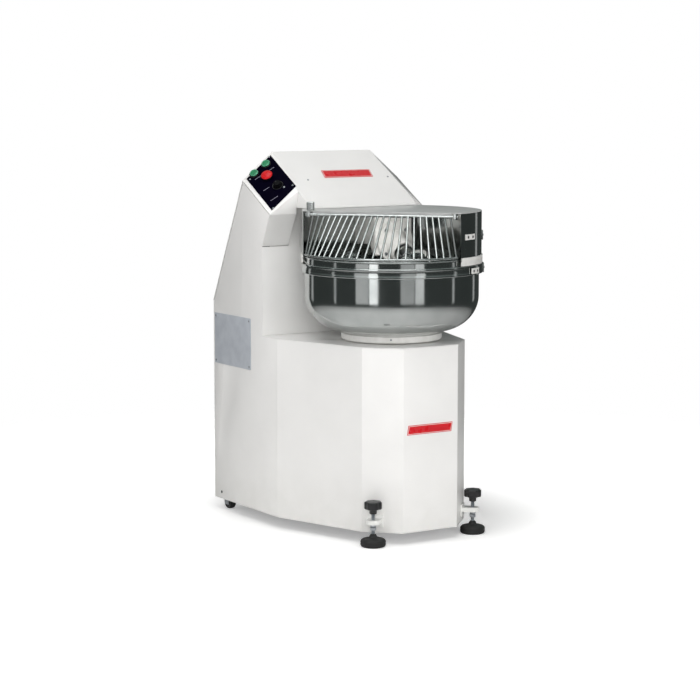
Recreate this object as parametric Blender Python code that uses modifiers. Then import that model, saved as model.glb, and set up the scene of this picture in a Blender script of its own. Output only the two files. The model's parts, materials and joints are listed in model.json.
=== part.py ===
"""Fork dough mixer: painted sheet-steel tower and pedestal, turning bowl, inclined fork, bowl guard.

Frame: metres, +Z up, -Y is the front and +X is the machine's right. Every part is modelled round the bowl's
axis, and the last step moves them all so that the origin is the centre of the footprint on the floor.
"""

from math import acos, atan2, cos, pi, radians, sin, sqrt, tau

import bmesh
import bpy
from mathutils import Matrix, Vector

# ---- fits -------------------------------------------------------------------------------------
GAP = 0.0003  # between pieces that touch or are bolted together
RUN = 0.0006  # radial running clearance of shafts, pins and wheels
SHEET = 0.002  # body sheet steel

# ---- plan of the pedestal ---------------------------------------------------------------------
BODY_HALF = 0.313
APRON_REAR_Y = 0.213
CHAMFER_HALF = 0.203
CHAMFER_Y = -0.134
FRONT_HALF = 0.106
FRONT_Y = -0.232
REAR_Y = 0.650
SKIRT_Z = 0.038
TABLE_Z = 0.641

# ---- bowl -------------------------------------------------------------------------------------
BOWL_R = 0.288
BOWL_WALL = 0.0025
BOWL_FLOOR_R = 0.158
BOWL_RIM_Z = 0.921
BOWL_FLOOR_Z = TABLE_Z + 0.033
BOWL_CURVE_Z = BOWL_FLOOR_Z + 0.116
LIP_R = BOWL_R + 0.0035
LIP_HEIGHT = 0.004
BAND_R = BOWL_R + 0.010
BAND_TOP_Z = BOWL_RIM_Z - 0.023
BAND_LOW_Z = BAND_TOP_Z - 0.031
COLLAR_R = BOWL_FLOOR_R + 0.009
COLLAR_LOW_Z = TABLE_Z + 0.004
SPINDLE_R = 0.025

# ---- guard ------------------------------------------------------------------------------------
GUARD_R = BOWL_R + 0.008
GUARD_SHEET = 0.0015
GUARD_LOW_Z = BOWL_RIM_Z - 0.003
GUARD_TOP_Z = BOWL_RIM_Z + 0.147
COVER_THICK = 0.002
GUARD_RIGHT = radians(-75)
GUARD_LEFT = radians(158)
SKIRT_THICK = 0.003
SKIRT_LOW_Z = BAND_TOP_Z + 0.002
SKIRT_TOP_Z = BOWL_RIM_Z + 0.005
HINGE_Z = GUARD_TOP_Z - 0.010
HINGE_BAR_R = 0.005
FLAP_RING_R = BOWL_R + 0.002
FLAP_TUBE_R = 0.004
FLAP_RING_Z = BOWL_RIM_Z + FLAP_TUBE_R + 0.0018
ROD_R = 0.0035
ROD_COUNT = 24
ROD_INSET = 0.034967
STAY_HEIGHT = 0.030
STAY_THICK = 0.004
STAY_ASIDE = 0.009625
UPPER_STAY_Z = GUARD_LOW_Z + 0.055
LOWER_STAY_Z = BAND_TOP_Z - 0.032

# ---- tower and head ---------------------------------------------------------------------------
TOWER_FRONT_Y = GUARD_R + 0.016
LEAN_LOW_Z = BOWL_RIM_Z + 0.021
LEAN_TOP_Y = TOWER_FRONT_Y - 0.054
RIDGE_Y = REAR_Y - 0.211
NOSE_TOP_Z = GUARD_TOP_Z + 0.0105
HEAD_RISE = 0.1735
RIDGE_Z = NOSE_TOP_Z + HEAD_RISE
RIDGE_HALF = BODY_HALF - 0.116
SHOULDER_REAR_Z = RIDGE_Z - 0.096
SHOULDER_FRONT_Y = TOWER_FRONT_Y - 0.067
HEAD_HALF = BODY_HALF - 0.101
NOSE_Y = TOWER_FRONT_Y - 0.141
REAR_BREAK_Z = 0.731

# ---- base, mast and castors -------------------------------------------------------------------
BASE_Z = 0.060
BASE_PLATE = 0.006
MAST_HALF = BODY_HALF - 0.053
MAST_Y = TOWER_FRONT_Y + 0.093
MAST_TUBE = 0.040
SHELF_Z = 0.300
SHELF_DEPTH = 0.240
CASTOR_X = BODY_HALF - 0.033
CASTOR_Y = REAR_Y - 0.050
CASTOR_R = 0.025
CASTOR_WIDTH = 0.022
CASTOR_PIN_R = 0.004

# ---- bowl bearing and drive -------------------------------------------------------------------
HOUSING_R = 0.058
HOUSING_FLANGE_R = 0.130
HOUSING_LOW_Z = TABLE_Z - 0.151
BEARING_R = 0.045
BEARING_WIDTH = 0.018
BOWL_BOX = (0.110, 0.105)
BOWL_BOX_LOW_Z = 0.300
BOWL_BOX_TOP_Z = 0.450
SPINDLE_LOW_Z = BOWL_BOX_TOP_Z + GAP

# ---- fork -------------------------------------------------------------------------------------
FORK_X = BOWL_R - 0.166
FORK_FACE_Y = NOSE_Y - 0.001
FORK_FACE_Z = BOWL_RIM_Z + 0.029
FORK_TILT = radians(30)
FORK_SHAFT_R = 0.020
FLANGE_R = 0.070
FLANGE_THICK = 0.012
FLANGE_BOLTS_R = 0.056
BOSS_R = 0.040
BOSS_LENGTH = 0.062
HUB_START = 0.068
HUB_LENGTH = 0.046
HUB_R = 0.033
TINE_R = 0.0115
TINE_REACH = 0.118
TINE_END = 0.292

# ---- nose casting -----------------------------------------------------------------------------
NOSE_HALF = 0.075
NOSE_LOW_Z = BOWL_RIM_Z - 0.017
NOSE_BELLY_Y = FORK_FACE_Y + 0.016
NOSE_ARM_Z = BOWL_RIM_Z + 0.019
NOSE_WALL = 0.012

# ---- fork gearbox, motor and belts ------------------------------------------------------------
GEARBOX_HALF = 0.064
GEARBOX_Y = TOWER_FRONT_Y + 0.068
GEARBOX_Z = FORK_FACE_Z + 0.100
MOTOR_Y = MAST_Y + 0.085
MOTOR_Z = 0.400
MOTOR_R = 0.085
MOTOR_X = (-0.160, 0.120)
BOWL_PULLEY_X = MOTOR_X[1] + 0.042
FORK_PULLEY_X = BOWL_PULLEY_X + 0.056
BELT_WIDTH = 0.020
BELT_THICK = 0.006
BELT_CLEAR = 0.0015
MOTOR_GROOVE_R = 0.030
FORK_GROOVE_R = 0.050
BOWL_GROOVE_R = 0.060
PULLEY_LIP = 0.009

# ---- controls ---------------------------------------------------------------------------------
PLATE_CENTRE = (-(BODY_HALF - 0.0585), RIDGE_Y - 0.0904)
PLATE_WIDTH = 0.116
PLATE_LENGTH = 0.194
PLATE_THICK = 0.002
START_AT = ((0.0256, 0.0883), (-0.0263, 0.0775))
START_R = 0.0145
STOP_AT = (0.002, 0.031)
STOP_R = 0.020
DIAL_AT = (0.011, -0.030)
DIAL_R = 0.015
COLLAR_LIFT = 0.003
BUTTON_STEM_R = 0.009
PRESS = 0.004

# ---- covers, badges and feet ------------------------------------------------------------------
COVER_Y = (REAR_Y - 0.261, REAR_Y - 0.011)
COVER_Z = (0.516, 0.692)
HATCH_SIZE = 0.110
BADGE_THICK = 0.0015
HEAD_BADGE = (0.030, RIDGE_Y - 0.117, 0.200, 0.042)
FRONT_BADGE = (-0.004, TABLE_Z - 0.267, 0.178, 0.031)
FOOT_ALONG = 0.0462
FOOT_OUT = 0.0372
PAD_R = 0.0415
PAD_HEIGHT = 0.028
PAD_DOME_TOP = 0.041
SCREW_R = 0.006
ARM_Z = (0.073, 0.087)
ARM_WIDTH = 0.044
KNOB_LOW_Z = 0.122
KNOB_TOP_Z = 0.148
KNOB_R = 0.029
KNOB_HUB_R = 0.012
KNOB_HUB_LOW_Z = 0.107
SEGMENTS = 40
SMALL_SEGMENTS = 20

PARTS = "fork_dough_mixer"
CUTTERS = "cutters"


# ---- scene and materials ----------------------------------------------------------------------
def clear_scene():
    """Remove every object, then make the two collections."""
    for item in list(bpy.data.objects):
        bpy.data.objects.remove(item)
    for name in (PARTS, CUTTERS):
        collection = bpy.data.collections.new(name)
        bpy.context.scene.collection.children.link(collection)


def material(name, colour, roughness, metallic):
    """A Principled material of one colour."""
    made = bpy.data.materials.new(name)
    made.use_nodes = True
    shader = made.node_tree.nodes["Principled BSDF"]
    shader.inputs["Base Color"].default_value = (*colour, 1.0)
    shader.inputs["Roughness"].default_value = roughness
    shader.inputs["Metallic"].default_value = metallic
    return made


FINISHES = {
    "paint": ((0.84, 0.84, 0.82), 0.35, 0.0),
    "stainless": ((0.62, 0.62, 0.61), 0.15, 1.0),
    "steel": ((0.42, 0.43, 0.44), 0.40, 1.0),
    "cast": ((0.80, 0.80, 0.78), 0.45, 0.0),
    "black": ((0.02, 0.02, 0.02), 0.35, 0.0),
    "rubber": ((0.03, 0.03, 0.03), 0.70, 0.0),
    "panel": ((0.015, 0.018, 0.04), 0.30, 0.0),
    "green": ((0.03, 0.28, 0.16), 0.30, 0.0),
    "red": ((0.70, 0.02, 0.03), 0.30, 0.0),
    "grey": ((0.34, 0.35, 0.40), 0.50, 0.0),
    "nylon": ((0.86, 0.86, 0.84), 0.50, 0.0),
    "motor": ((0.10, 0.16, 0.24), 0.50, 0.0),
}


# ---- shape helpers ----------------------------------------------------------------------------
def add(name, mesh, finish):
    """Put a mesh in the scene as a part, with a material of its own."""
    part = bpy.data.objects.new(name, mesh)
    bpy.data.collections[PARTS].objects.link(part)
    mesh.materials.clear()
    mesh.materials.append(material(name, *FINISHES[finish]))
    return part


def tool(name, mesh):
    """Put a mesh in the scene as a cutter or as an operand of a union."""
    part = bpy.data.objects.new(name, mesh)
    bpy.data.collections[CUTTERS].objects.link(part)
    part.hide_render = True
    part.display_type = "WIRE"
    return part


def boolean(part, operand, operation):
    """Cut a part with another mesh, or join the mesh to it."""
    step = part.modifiers.new(operand.name, "BOOLEAN")
    step.operation = operation
    step.solver = "EXACT"
    step.object = operand


def cut(part, *meshes):
    """Cut each mesh out of a part."""
    for index, mesh in enumerate(meshes):
        boolean(part, tool(f"{part.name}_cut{index}", mesh), "DIFFERENCE")


def join(part, *meshes):
    """Weld each mesh to a part."""
    for index, mesh in enumerate(meshes):
        boolean(part, tool(f"{part.name}_join{index}", mesh), "UNION")


def finish_mesh(name, shape, matrix=None):
    """Turn a bmesh into a mesh, placed by a matrix."""
    if matrix is not None:
        bmesh.ops.transform(shape, matrix=matrix, verts=shape.verts)
    mesh = bpy.data.meshes.new(name)
    shape.to_mesh(mesh)
    shape.free()
    return mesh


def block(name, low, high, matrix=None):
    """A box between two corners."""
    low, high = Vector(low), Vector(high)
    shape = bmesh.new()
    size = high - low
    place = Matrix.Translation((low + high) / 2) @ Matrix.Diagonal((*size, 1))
    bmesh.ops.create_cube(shape, size=1.0, matrix=place)
    return finish_mesh(name, shape, matrix)


def along(start, end):
    """The matrix whose origin is midway from start to end, with +Z from start to end."""
    start, end = Vector(start), Vector(end)
    turn = (end - start).to_track_quat("Z", "Y").to_matrix().to_4x4()
    return Matrix.Translation((start + end) / 2) @ turn


def rod(name, start, end, radius, segments=24):
    """A round bar from one point to another."""
    shape = bmesh.new()
    length = (Vector(end) - Vector(start)).length
    bmesh.ops.create_cone(
        shape, cap_ends=True, segments=segments, radius1=radius, radius2=radius, depth=length
    )
    return finish_mesh(name, shape, along(start, end))


def flat(name, outline, thickness, matrix=None):
    """A plate: an outline in the XY plane, as thick on both sides of it together."""
    curve = bpy.data.curves.new(name, "CURVE")
    curve.dimensions = "2D"
    curve.fill_mode = "BOTH"
    curve.extrude = thickness / 2
    spline = curve.splines.new("POLY")
    spline.points.add(len(outline) - 1)
    for point, (across, up) in zip(spline.points, outline):
        point.co = (across, up, 0.0, 1.0)
    spline.use_cyclic_u = True
    return curve_mesh(name, curve, matrix)


def curve_mesh(name, curve, matrix=None):
    """The closed mesh of a curve with a fill or a bevel."""
    holder = bpy.data.objects.new(name, curve)
    bpy.data.collections[CUTTERS].objects.link(holder)
    bpy.context.view_layer.update()
    evaluated = holder.evaluated_get(bpy.context.evaluated_depsgraph_get())
    mesh = bpy.data.meshes.new_from_object(evaluated)
    bpy.data.objects.remove(holder)
    shape = bmesh.new()
    shape.from_mesh(mesh)
    bmesh.ops.remove_doubles(shape, verts=shape.verts, dist=1e-5)
    return finish_mesh(name, shape, matrix)


def tube(name, points, radius, resolution=2):
    """A round wire through a list of points."""
    curve = bpy.data.curves.new(name, "CURVE")
    curve.dimensions = "3D"
    curve.bevel_depth = radius
    curve.bevel_resolution = resolution
    curve.use_fill_caps = True
    spline = curve.splines.new("POLY")
    spline.points.add(len(points) - 1)
    for point, place in zip(spline.points, points):
        point.co = (*place, 1.0)
    return curve_mesh(name, curve)


def turned(name, profile, closed, matrix=None, segments=SEGMENTS):
    """A turned shape: (radius, height) points down the outer side, spun about Z by a Screw modifier."""
    outline = bpy.data.meshes.new(name)
    points = [(radius, 0.0, height) for radius, height in profile]
    edges = [(i, i + 1) for i in range(len(points) - 1)]
    if closed:
        edges.append((len(points) - 1, 0))
    outline.from_pydata(points, edges, [])
    holder = bpy.data.objects.new(name, outline)
    bpy.data.collections[CUTTERS].objects.link(holder)
    spin = holder.modifiers.new("spin", "SCREW")
    spin.steps = spin.render_steps = segments
    spin.use_merge_vertices = True
    spin.merge_threshold = 1e-5
    bpy.context.view_layer.update()
    evaluated = holder.evaluated_get(bpy.context.evaluated_depsgraph_get())
    mesh = bpy.data.meshes.new_from_object(evaluated)
    bpy.data.objects.remove(holder)
    shape = bmesh.new()
    shape.from_mesh(mesh)
    bmesh.ops.remove_doubles(shape, verts=shape.verts, dist=1e-6)
    return finish_mesh(name, shape, matrix)


def ring(name, inner, outer, low, high, matrix=None, segments=SEGMENTS):
    """A plain ring about Z."""
    return turned(name, [(outer, high), (outer, low), (inner, low), (inner, high)], True, matrix, segments)


def disc(name, radius, low, high, matrix=None, segments=SEGMENTS):
    """A plain disc about Z."""
    return turned(name, [(0, high), (radius, high), (radius, low), (0, low)], False, matrix, segments)


def surface(name, points, faces):
    """An open sheet from its corners."""
    mesh = bpy.data.meshes.new(name)
    mesh.from_pydata(points, [], faces)
    shape = bmesh.new()
    shape.from_mesh(mesh)
    return finish_mesh(name, shape)


def thicken(part, thickness, even=True):
    """Give an open sheet its thickness, behind its faces."""
    step = part.modifiers.new("thickness", "SOLIDIFY")
    step.thickness = thickness
    step.offset = -1.0
    step.use_even_offset = even


def soften(part, width, segments=1):
    """Round the sharp edges of a part."""
    step = part.modifiers.new("edges", "BEVEL")
    step.width = width
    step.segments = segments
    step.limit_method = "ANGLE"
    step.angle_limit = radians(40)


def strip(name, line, low, high):
    """An upright folded sheet: a line in plan, from one height to another, facing its right-hand side."""
    shape = bmesh.new()
    verts = [shape.verts.new((across, depth, low)) for across, depth in line]
    edges = [shape.edges.new(pair) for pair in zip(verts, verts[1:])]
    raised = bmesh.ops.extrude_edge_only(shape, edges=edges)["geom"]
    top = [item for item in raised if isinstance(item, bmesh.types.BMVert)]
    bmesh.ops.translate(shape, vec=(0, 0, high - low), verts=top)
    return finish_mesh(name, shape)


def inset(outline, distance):
    """A closed outline, run anticlockwise, moved inwards by a distance."""
    moved = []
    count = len(outline)
    for index in range(count):
        here = Vector(outline[index])
        before = (here - Vector(outline[index - 1])).normalized()
        after = (Vector(outline[(index + 1) % count]) - here).normalized()
        normal_before = Vector((-before.y, before.x))
        normal_after = Vector((-after.y, after.x))
        middle = (normal_before + normal_after).normalized()
        moved.append(tuple(here + middle * (distance / middle.dot(normal_after))))
    return moved


def arc(radius, start, end, count):
    """Points on a circle about the bowl's axis, in plan."""
    turns = [start + (end - start) * i / count for i in range(count + 1)]
    return [(radius * cos(turn), radius * sin(turn)) for turn in turns]


# ---- frames that several parts share ----------------------------------------------------------
SLOPE = (RIDGE_Z - NOSE_TOP_Z) / (RIDGE_Y - NOSE_Y)


def head_height(depth):
    """Height of the sloping head panel at a depth."""
    return RIDGE_Z - SLOPE * (RIDGE_Y - depth)


def shoulder_corners():
    """The left shoulder's four corners: rear outer, rear inner, front inner, front outer."""
    rear_outer = Vector((-BODY_HALF, RIDGE_Y, SHOULDER_REAR_Z))
    rear_inner = Vector((-RIDGE_HALF, RIDGE_Y, RIDGE_Z))
    front_inner = Vector((-HEAD_HALF, SHOULDER_FRONT_Y, head_height(SHOULDER_FRONT_Y)))
    normal = (front_inner - rear_outer).cross(rear_inner - rear_outer).normalized()
    drop = normal.y * (LEAN_TOP_Y - rear_outer.y) / normal.z
    front_outer = Vector((-BODY_HALF, LEAN_TOP_Y, rear_outer.z - drop))
    return rear_outer, rear_inner, front_inner, front_outer


def shoulder_frame():
    """On the left shoulder: +Z out of it, +Y up it, +X across to the head, origin at the plate's centre."""
    rear_outer, rear_inner, front_inner, _ = shoulder_corners()
    out = (front_inner - rear_outer).cross(rear_inner - rear_outer).normalized()
    up = out.cross(Vector((1, 0, 0))).normalized()
    across = up.cross(out)
    x, y = PLATE_CENTRE
    z = rear_outer.z - (out.x * (x - rear_outer.x) + out.y * (y - rear_outer.y)) / out.z
    turn = Matrix((across, up, out)).transposed().to_4x4()
    return Matrix.Translation((x, y, z)) @ turn


def fork_frame():
    """+Z points down the fork's axis, with the origin where it leaves the nose casting's face."""
    axis = Vector((0, -cos(FORK_TILT), -sin(FORK_TILT)))
    turn = axis.to_track_quat("Z", "X").to_matrix().to_4x4()
    return Matrix.Translation((FORK_X, FORK_FACE_Y, FORK_FACE_Z)) @ turn


def hinge_line():
    """The two ends of the flap's hinge bar, right and left."""
    ends = [Vector((GUARD_R * cos(turn), GUARD_R * sin(turn), HINGE_Z)) for turn in (GUARD_RIGHT, GUARD_LEFT)]
    return ends[0], ends[1]


def foot_frame(side):
    """On a front chamfer facet: +X outwards from the facet, +Z up, origin under the spindle's centre."""
    corner = Vector((CHAMFER_HALF, CHAMFER_Y, 0))
    ahead = (Vector((FRONT_HALF, FRONT_Y, 0)) - corner).normalized()
    outwards = Vector((-ahead.y, ahead.x, 0))
    spot = corner + ahead * FOOT_ALONG + outwards * FOOT_OUT
    outwards.x *= side
    upwards = Vector((0, 0, 1))
    matrix = Matrix((outwards, upwards.cross(outwards), upwards)).transposed().to_4x4()
    return Matrix.Translation((side * spot.x, spot.y, 0)) @ matrix


def along_x(x, y, z):
    """+Z turned to point along the machine's +X, at a place."""
    return Matrix.Translation((x, y, z)) @ Matrix.Rotation(pi / 2, 4, "Y")


# ---- body shell -------------------------------------------------------------------------------
def pedestal_plan():
    """The apron's line in plan, from the right rear round the front to the left rear."""
    right = [
        (BODY_HALF, APRON_REAR_Y),
        (CHAMFER_HALF, CHAMFER_Y),
        (FRONT_HALF, FRONT_Y),
    ]
    return right + [(-x, y) for x, y in reversed(right)]


def make_pedestal():
    """The folded apron and the table plate with the opening for the bowl's spindle."""
    apron = add("apron", strip("apron", pedestal_plan(), SKIRT_Z, TABLE_Z - SHEET - GAP), "paint")
    thicken(apron, SHEET)
    rear = TOWER_FRONT_Y - GAP
    outline = [(BODY_HALF, rear), *pedestal_plan(), (-BODY_HALF, rear)]
    place = Matrix.Translation((0, 0, TABLE_Z - SHEET / 2))
    table = add("pedestal_top", flat("pedestal_top", outline, SHEET, place), "paint")
    cut(table, disc("hole", SPINDLE_R + 0.020, TABLE_Z - 0.01, TABLE_Z + 0.01))


def side_profile():
    """The side panel's outline as (depth, height), anticlockwise, before the covers' thickness is taken off."""
    _, _, _, front_outer = shoulder_corners()
    return [
        (TOWER_FRONT_Y, SKIRT_Z),
        (REAR_Y, SKIRT_Z),
        (REAR_Y, REAR_BREAK_Z),
        (RIDGE_Y, SHOULDER_REAR_Z),
        (LEAN_TOP_Y, front_outer.z),
        (TOWER_FRONT_Y, LEAN_LOW_Z),
    ]


def make_side_panels():
    """Two flat side panels, the left one with the hatch behind the electrical cover."""
    cover = SHEET + 0.0012
    upper = inset(side_profile(), cover)
    front = APRON_REAR_Y + 0.0016
    edge = TOWER_FRONT_Y + GAP
    lean = (upper[5][1] - upper[4][1]) / (upper[5][0] - upper[4][0])
    outline = [
        (front, SKIRT_Z),
        (upper[1][0], SKIRT_Z),
        *upper[2:5],
        (upper[4][0] + (LEAN_LOW_Z - GAP - upper[4][1]) / lean, LEAN_LOW_Z - GAP),
        (edge, LEAN_LOW_Z - GAP),
        (edge, TABLE_Z - SHEET - GAP),
        (front, TABLE_Z - SHEET - GAP),
    ]
    upright = Matrix(((0, 0, 1, 0), (1, 0, 0, 0), (0, 1, 0, 0), (0, 0, 0, 1)))
    for side, name in ((-1, "side_panel_left"), (1, "side_panel_right")):
        place = Matrix.Translation((side * (BODY_HALF - SHEET / 2), 0, 0)) @ upright
        panel = add(name, flat(name, outline, SHEET, place), "paint")
        if side < 0:
            middle = Vector((-BODY_HALF, sum(COVER_Y) / 2, sum(COVER_Z) / 2))
            reach = Vector((0.01, HATCH_SIZE / 2, HATCH_SIZE / 2))
            cut(panel, block("hatch", middle - reach, middle + reach))


def make_tower_front():
    """The tower's upright front panel, narrow between the shoulders, with the opening for the fork's shaft."""
    half = BODY_HALF - SHEET - GAP
    narrow = HEAD_HALF - SHEET - GAP
    low, top = TABLE_Z - 0.081, NOSE_TOP_Z - 0.009
    outline = [(-half, low), (half, low), (half, LEAN_LOW_Z - 0.002), (narrow, LEAN_LOW_Z - 0.002)]
    outline += [(narrow, top), (-narrow, top), (-narrow, LEAN_LOW_Z - 0.002), (-half, LEAN_LOW_Z - 0.002)]
    upright = Matrix(((1, 0, 0, 0), (0, 0, -1, 0), (0, 1, 0, 0), (0, 0, 0, 1)))
    place = Matrix.Translation((0, TOWER_FRONT_Y + GAP + SHEET / 2, 0)) @ upright
    panel = add("tower_front_panel", flat("tower_front_panel", outline, SHEET, place), "paint")
    cut(panel, disc("opening", 0.045, -0.30, 0.0, fork_frame()))


def make_head_hood():
    """The folded hood: sloping top, both shoulders, the nose lip, the cheeks and the chin plate."""
    chin_z = NOSE_TOP_Z - 0.007
    rear_outer, rear_inner, front_inner, front_outer = shoulder_corners()
    back = TOWER_FRONT_Y
    left = [
        rear_inner,
        front_inner,
        Vector((-HEAD_HALF, NOSE_Y, NOSE_TOP_Z)),
        Vector((-HEAD_HALF, NOSE_Y, chin_z)),
        rear_outer,
        front_outer,
        Vector((-HEAD_HALF, LEAN_TOP_Y, front_outer.z)),
        Vector((-HEAD_HALF, back, LEAN_LOW_Z)),
        Vector((-BODY_HALF, back, LEAN_LOW_Z)),
        Vector((-HEAD_HALF, back, chin_z)),
    ]
    shoulder_foot = left[6]
    share = (front_inner.z - chin_z) / (front_inner.z - shoulder_foot.z)
    left.append(front_inner.lerp(shoulder_foot, share))
    count = len(left)
    points = [tuple(p) for p in left] + [(-p.x, p.y, p.z) for p in left]
    half_faces = [(4, 5, 1, 0), (5, 6, 10, 1), (5, 8, 7, 6), (1, 10, 3, 2), (10, 6, 7, 9)]
    faces = list(half_faces)
    faces += [tuple(count + i for i in reversed(face)) for face in half_faces]
    faces.append((0, 1, 2, count + 2, count + 1, count))
    faces.append((2, 3, count + 3, count + 2))
    faces.append((3, 10, 9, count + 9, count + 10, count + 3))
    hood = add("head_hood", surface("head_hood", points, faces), "paint")
    thicken(hood, SHEET, even=False)


def make_rear():
    """The folded rear hood and the removable rear panel with its louvre slots."""
    drop = 0.0012
    low = REAR_BREAK_Z + drop
    line = [(RIDGE_Y, RIDGE_Z), (RIDGE_Y, SHOULDER_REAR_Z), (REAR_Y, low)]
    points = []
    behind = SHEET * 0.8
    for (depth, height), half in zip(line, (RIDGE_HALF, BODY_HALF, BODY_HALF)):
        points += [(-half, depth + behind, height), (half, depth + behind, height)]
    hood = add("rear_hood", surface("rear_hood", points, [(0, 1, 3, 2), (2, 3, 5, 4)]), "paint")
    step = hood.modifiers.new("thickness", "SOLIDIFY")
    step.thickness = SHEET
    step.offset = 1.0
    step.use_even_offset = True
    panel = add(
        "rear_panel",
        block("rear_panel", (-BODY_HALF, REAR_Y - SHEET, SKIRT_Z), (BODY_HALF, REAR_Y, REAR_BREAK_Z - GAP)),
        "paint",
    )
    slots = []
    for row in range(6):
        height = 0.180 + 0.026 * row
        slots.append(block("slot", (-0.110, REAR_Y - 0.01, height), (0.110, REAR_Y + 0.01, height + 0.007)))
    cut(panel, *slots)


# ---- base, mast and castors -------------------------------------------------------------------
def make_base():
    """The base plate inside the apron, and the welded mast that carries the motor and the fork gearbox."""
    wall = SHEET + 0.0012
    plan = [(BODY_HALF, REAR_Y), *pedestal_plan(), (-BODY_HALF, REAR_Y)]
    outline = list(reversed(inset(list(reversed(plan)), wall)))
    place = Matrix.Translation((0, 0, BASE_Z + BASE_PLATE / 2))
    add("base_plate", flat("base_plate", outline, BASE_PLATE, place), "steel")
    floor = BASE_Z + BASE_PLATE + GAP
    beam_top = GEARBOX_Z - GEARBOX_HALF - GAP
    half = MAST_TUBE / 2
    post = (MAST_HALF, MAST_Y)
    mast = add(
        "mast",
        block("mast", (-post[0] - half, post[1] - half, floor), (-post[0] + half, post[1] + half, beam_top)),
        "steel",
    )
    low, high = (post[0] - half, post[1] - half, floor), (post[0] + half, post[1] + half, beam_top)
    right_post = block("post", low, high)
    beam = block("beam", (-post[0], post[1] - half, beam_top - MAST_TUBE), (post[0], post[1] + half, beam_top))
    shelf_y = (MAST_Y - 0.010, MAST_Y - 0.010 + SHELF_DEPTH)
    shelf = block("shelf", (-post[0], shelf_y[0], SHELF_Z - 0.006), (post[0], shelf_y[1] - 0.04, SHELF_Z))
    join(mast, right_post, beam, shelf)


def make_castor(side, word):
    """A fixed rear castor: a fork bracket with its pin, and the wheel that turns on it."""
    x, y = side * CASTOR_X, CASTOR_Y
    inner = CASTOR_WIDTH / 2 + 0.0015
    wall = 0.0025
    top = BASE_Z - GAP
    bracket = add(
        f"castor_bracket_{word}",
        block("plate", (x - 0.024, y - 0.030, top - 0.003), (x + 0.024, y + 0.030, top)),
        "steel",
    )
    cheeks = [
        block("cheek", (x + low, y - 0.012, CASTOR_R - 0.009), (x + low + wall, y + 0.012, top - 0.001))
        for low in (inner, -inner - wall)
    ]
    reach = inner + wall + 0.002
    pin = rod("pin", (x - reach, y, CASTOR_R), (x + reach, y, CASTOR_R), CASTOR_PIN_R, 16)
    join(bracket, *cheeks, pin)
    half = CASTOR_WIDTH / 2
    profile = [
        (CASTOR_R - 0.003, half),
        (CASTOR_R, half - 0.003),
        (CASTOR_R, -half + 0.003),
        (CASTOR_R - 0.003, -half),
        (CASTOR_PIN_R + RUN, -half),
        (CASTOR_PIN_R + RUN, half),
    ]
    wheel = turned("wheel", profile, True, along_x(x, y, CASTOR_R), SMALL_SEGMENTS)
    add(f"castor_wheel_{word}", wheel, "black")


# ---- bowl -------------------------------------------------------------------------------------
def bowl_curve(radius, floor_radius, low, count=7):
    """The bowl's corner: a quarter of an ellipse from the straight wall in to the flat floor."""
    rise = BOWL_CURVE_Z - low
    turns = [pi / 2 * i / count for i in range(count + 1)]
    return [
        (floor_radius + (radius - floor_radius) * cos(turn), BOWL_CURVE_Z - rise * sin(turn))
        for turn in turns
    ]


def make_bowl():
    """The bowl with its band, collar and spindle, all on the bowl's axis."""
    inner = BOWL_R - BOWL_WALL
    outside = [(BOWL_R, BOWL_RIM_Z - LIP_HEIGHT), *bowl_curve(BOWL_R, BOWL_FLOOR_R, BOWL_FLOOR_Z)]
    inside = bowl_curve(inner, BOWL_FLOOR_R, BOWL_FLOOR_Z + BOWL_WALL)
    profile = [(inner, BOWL_RIM_Z), (LIP_R, BOWL_RIM_Z), (LIP_R, BOWL_RIM_Z - LIP_HEIGHT), *outside]
    profile += [(0, BOWL_FLOOR_Z), (0, BOWL_FLOOR_Z + BOWL_WALL), *reversed(inside)]
    add("bowl", turned("bowl", profile, True), "stainless")
    add("bowl_band", ring("bowl_band", BOWL_R + GAP, BAND_R, BAND_LOW_Z, BAND_TOP_Z), "stainless")
    top = BOWL_FLOOR_Z - GAP
    bore = SPINDLE_R + GAP
    collar = [
        (COLLAR_R - 0.010, top),
        (COLLAR_R, top - 0.006),
        (COLLAR_R, COLLAR_LOW_Z + 0.006),
        (COLLAR_R - 0.006, COLLAR_LOW_Z),
        (bore, COLLAR_LOW_Z),
        (bore, top),
    ]
    add("bowl_collar", turned("bowl_collar", collar, True), "nylon")
    add("bowl_spindle", disc("bowl_spindle", SPINDLE_R, SPINDLE_LOW_Z, top, None, SMALL_SEGMENTS), "steel")


def make_bowl_bearing():
    """The flanged housing under the table, and the two bearings that carry the bowl's spindle."""
    top = TABLE_Z - SHEET - GAP
    bore = BEARING_R + GAP
    step = BEARING_WIDTH + 0.004
    throat = SPINDLE_R + 0.010
    profile = [
        (bore, top),
        (HOUSING_FLANGE_R, top),
        (HOUSING_FLANGE_R, top - 0.010),
        (HOUSING_R, top - 0.010),
        (HOUSING_R, HOUSING_LOW_Z),
        (bore, HOUSING_LOW_Z),
        (bore, HOUSING_LOW_Z + step),
        (throat, HOUSING_LOW_Z + step),
        (throat, top - step),
        (bore, top - step),
    ]
    add("bowl_bearing_housing", turned("bowl_bearing_housing", profile, True, None, SMALL_SEGMENTS), "steel")
    inner = SPINDLE_R + RUN
    for word, low in (("upper", top - step + GAP), ("lower", HOUSING_LOW_Z + step - GAP - BEARING_WIDTH)):
        name = f"bowl_bearing_{word}"
        add(name, ring(name, inner, BEARING_R, low, low + BEARING_WIDTH, None, SMALL_SEGMENTS), "steel")


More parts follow.
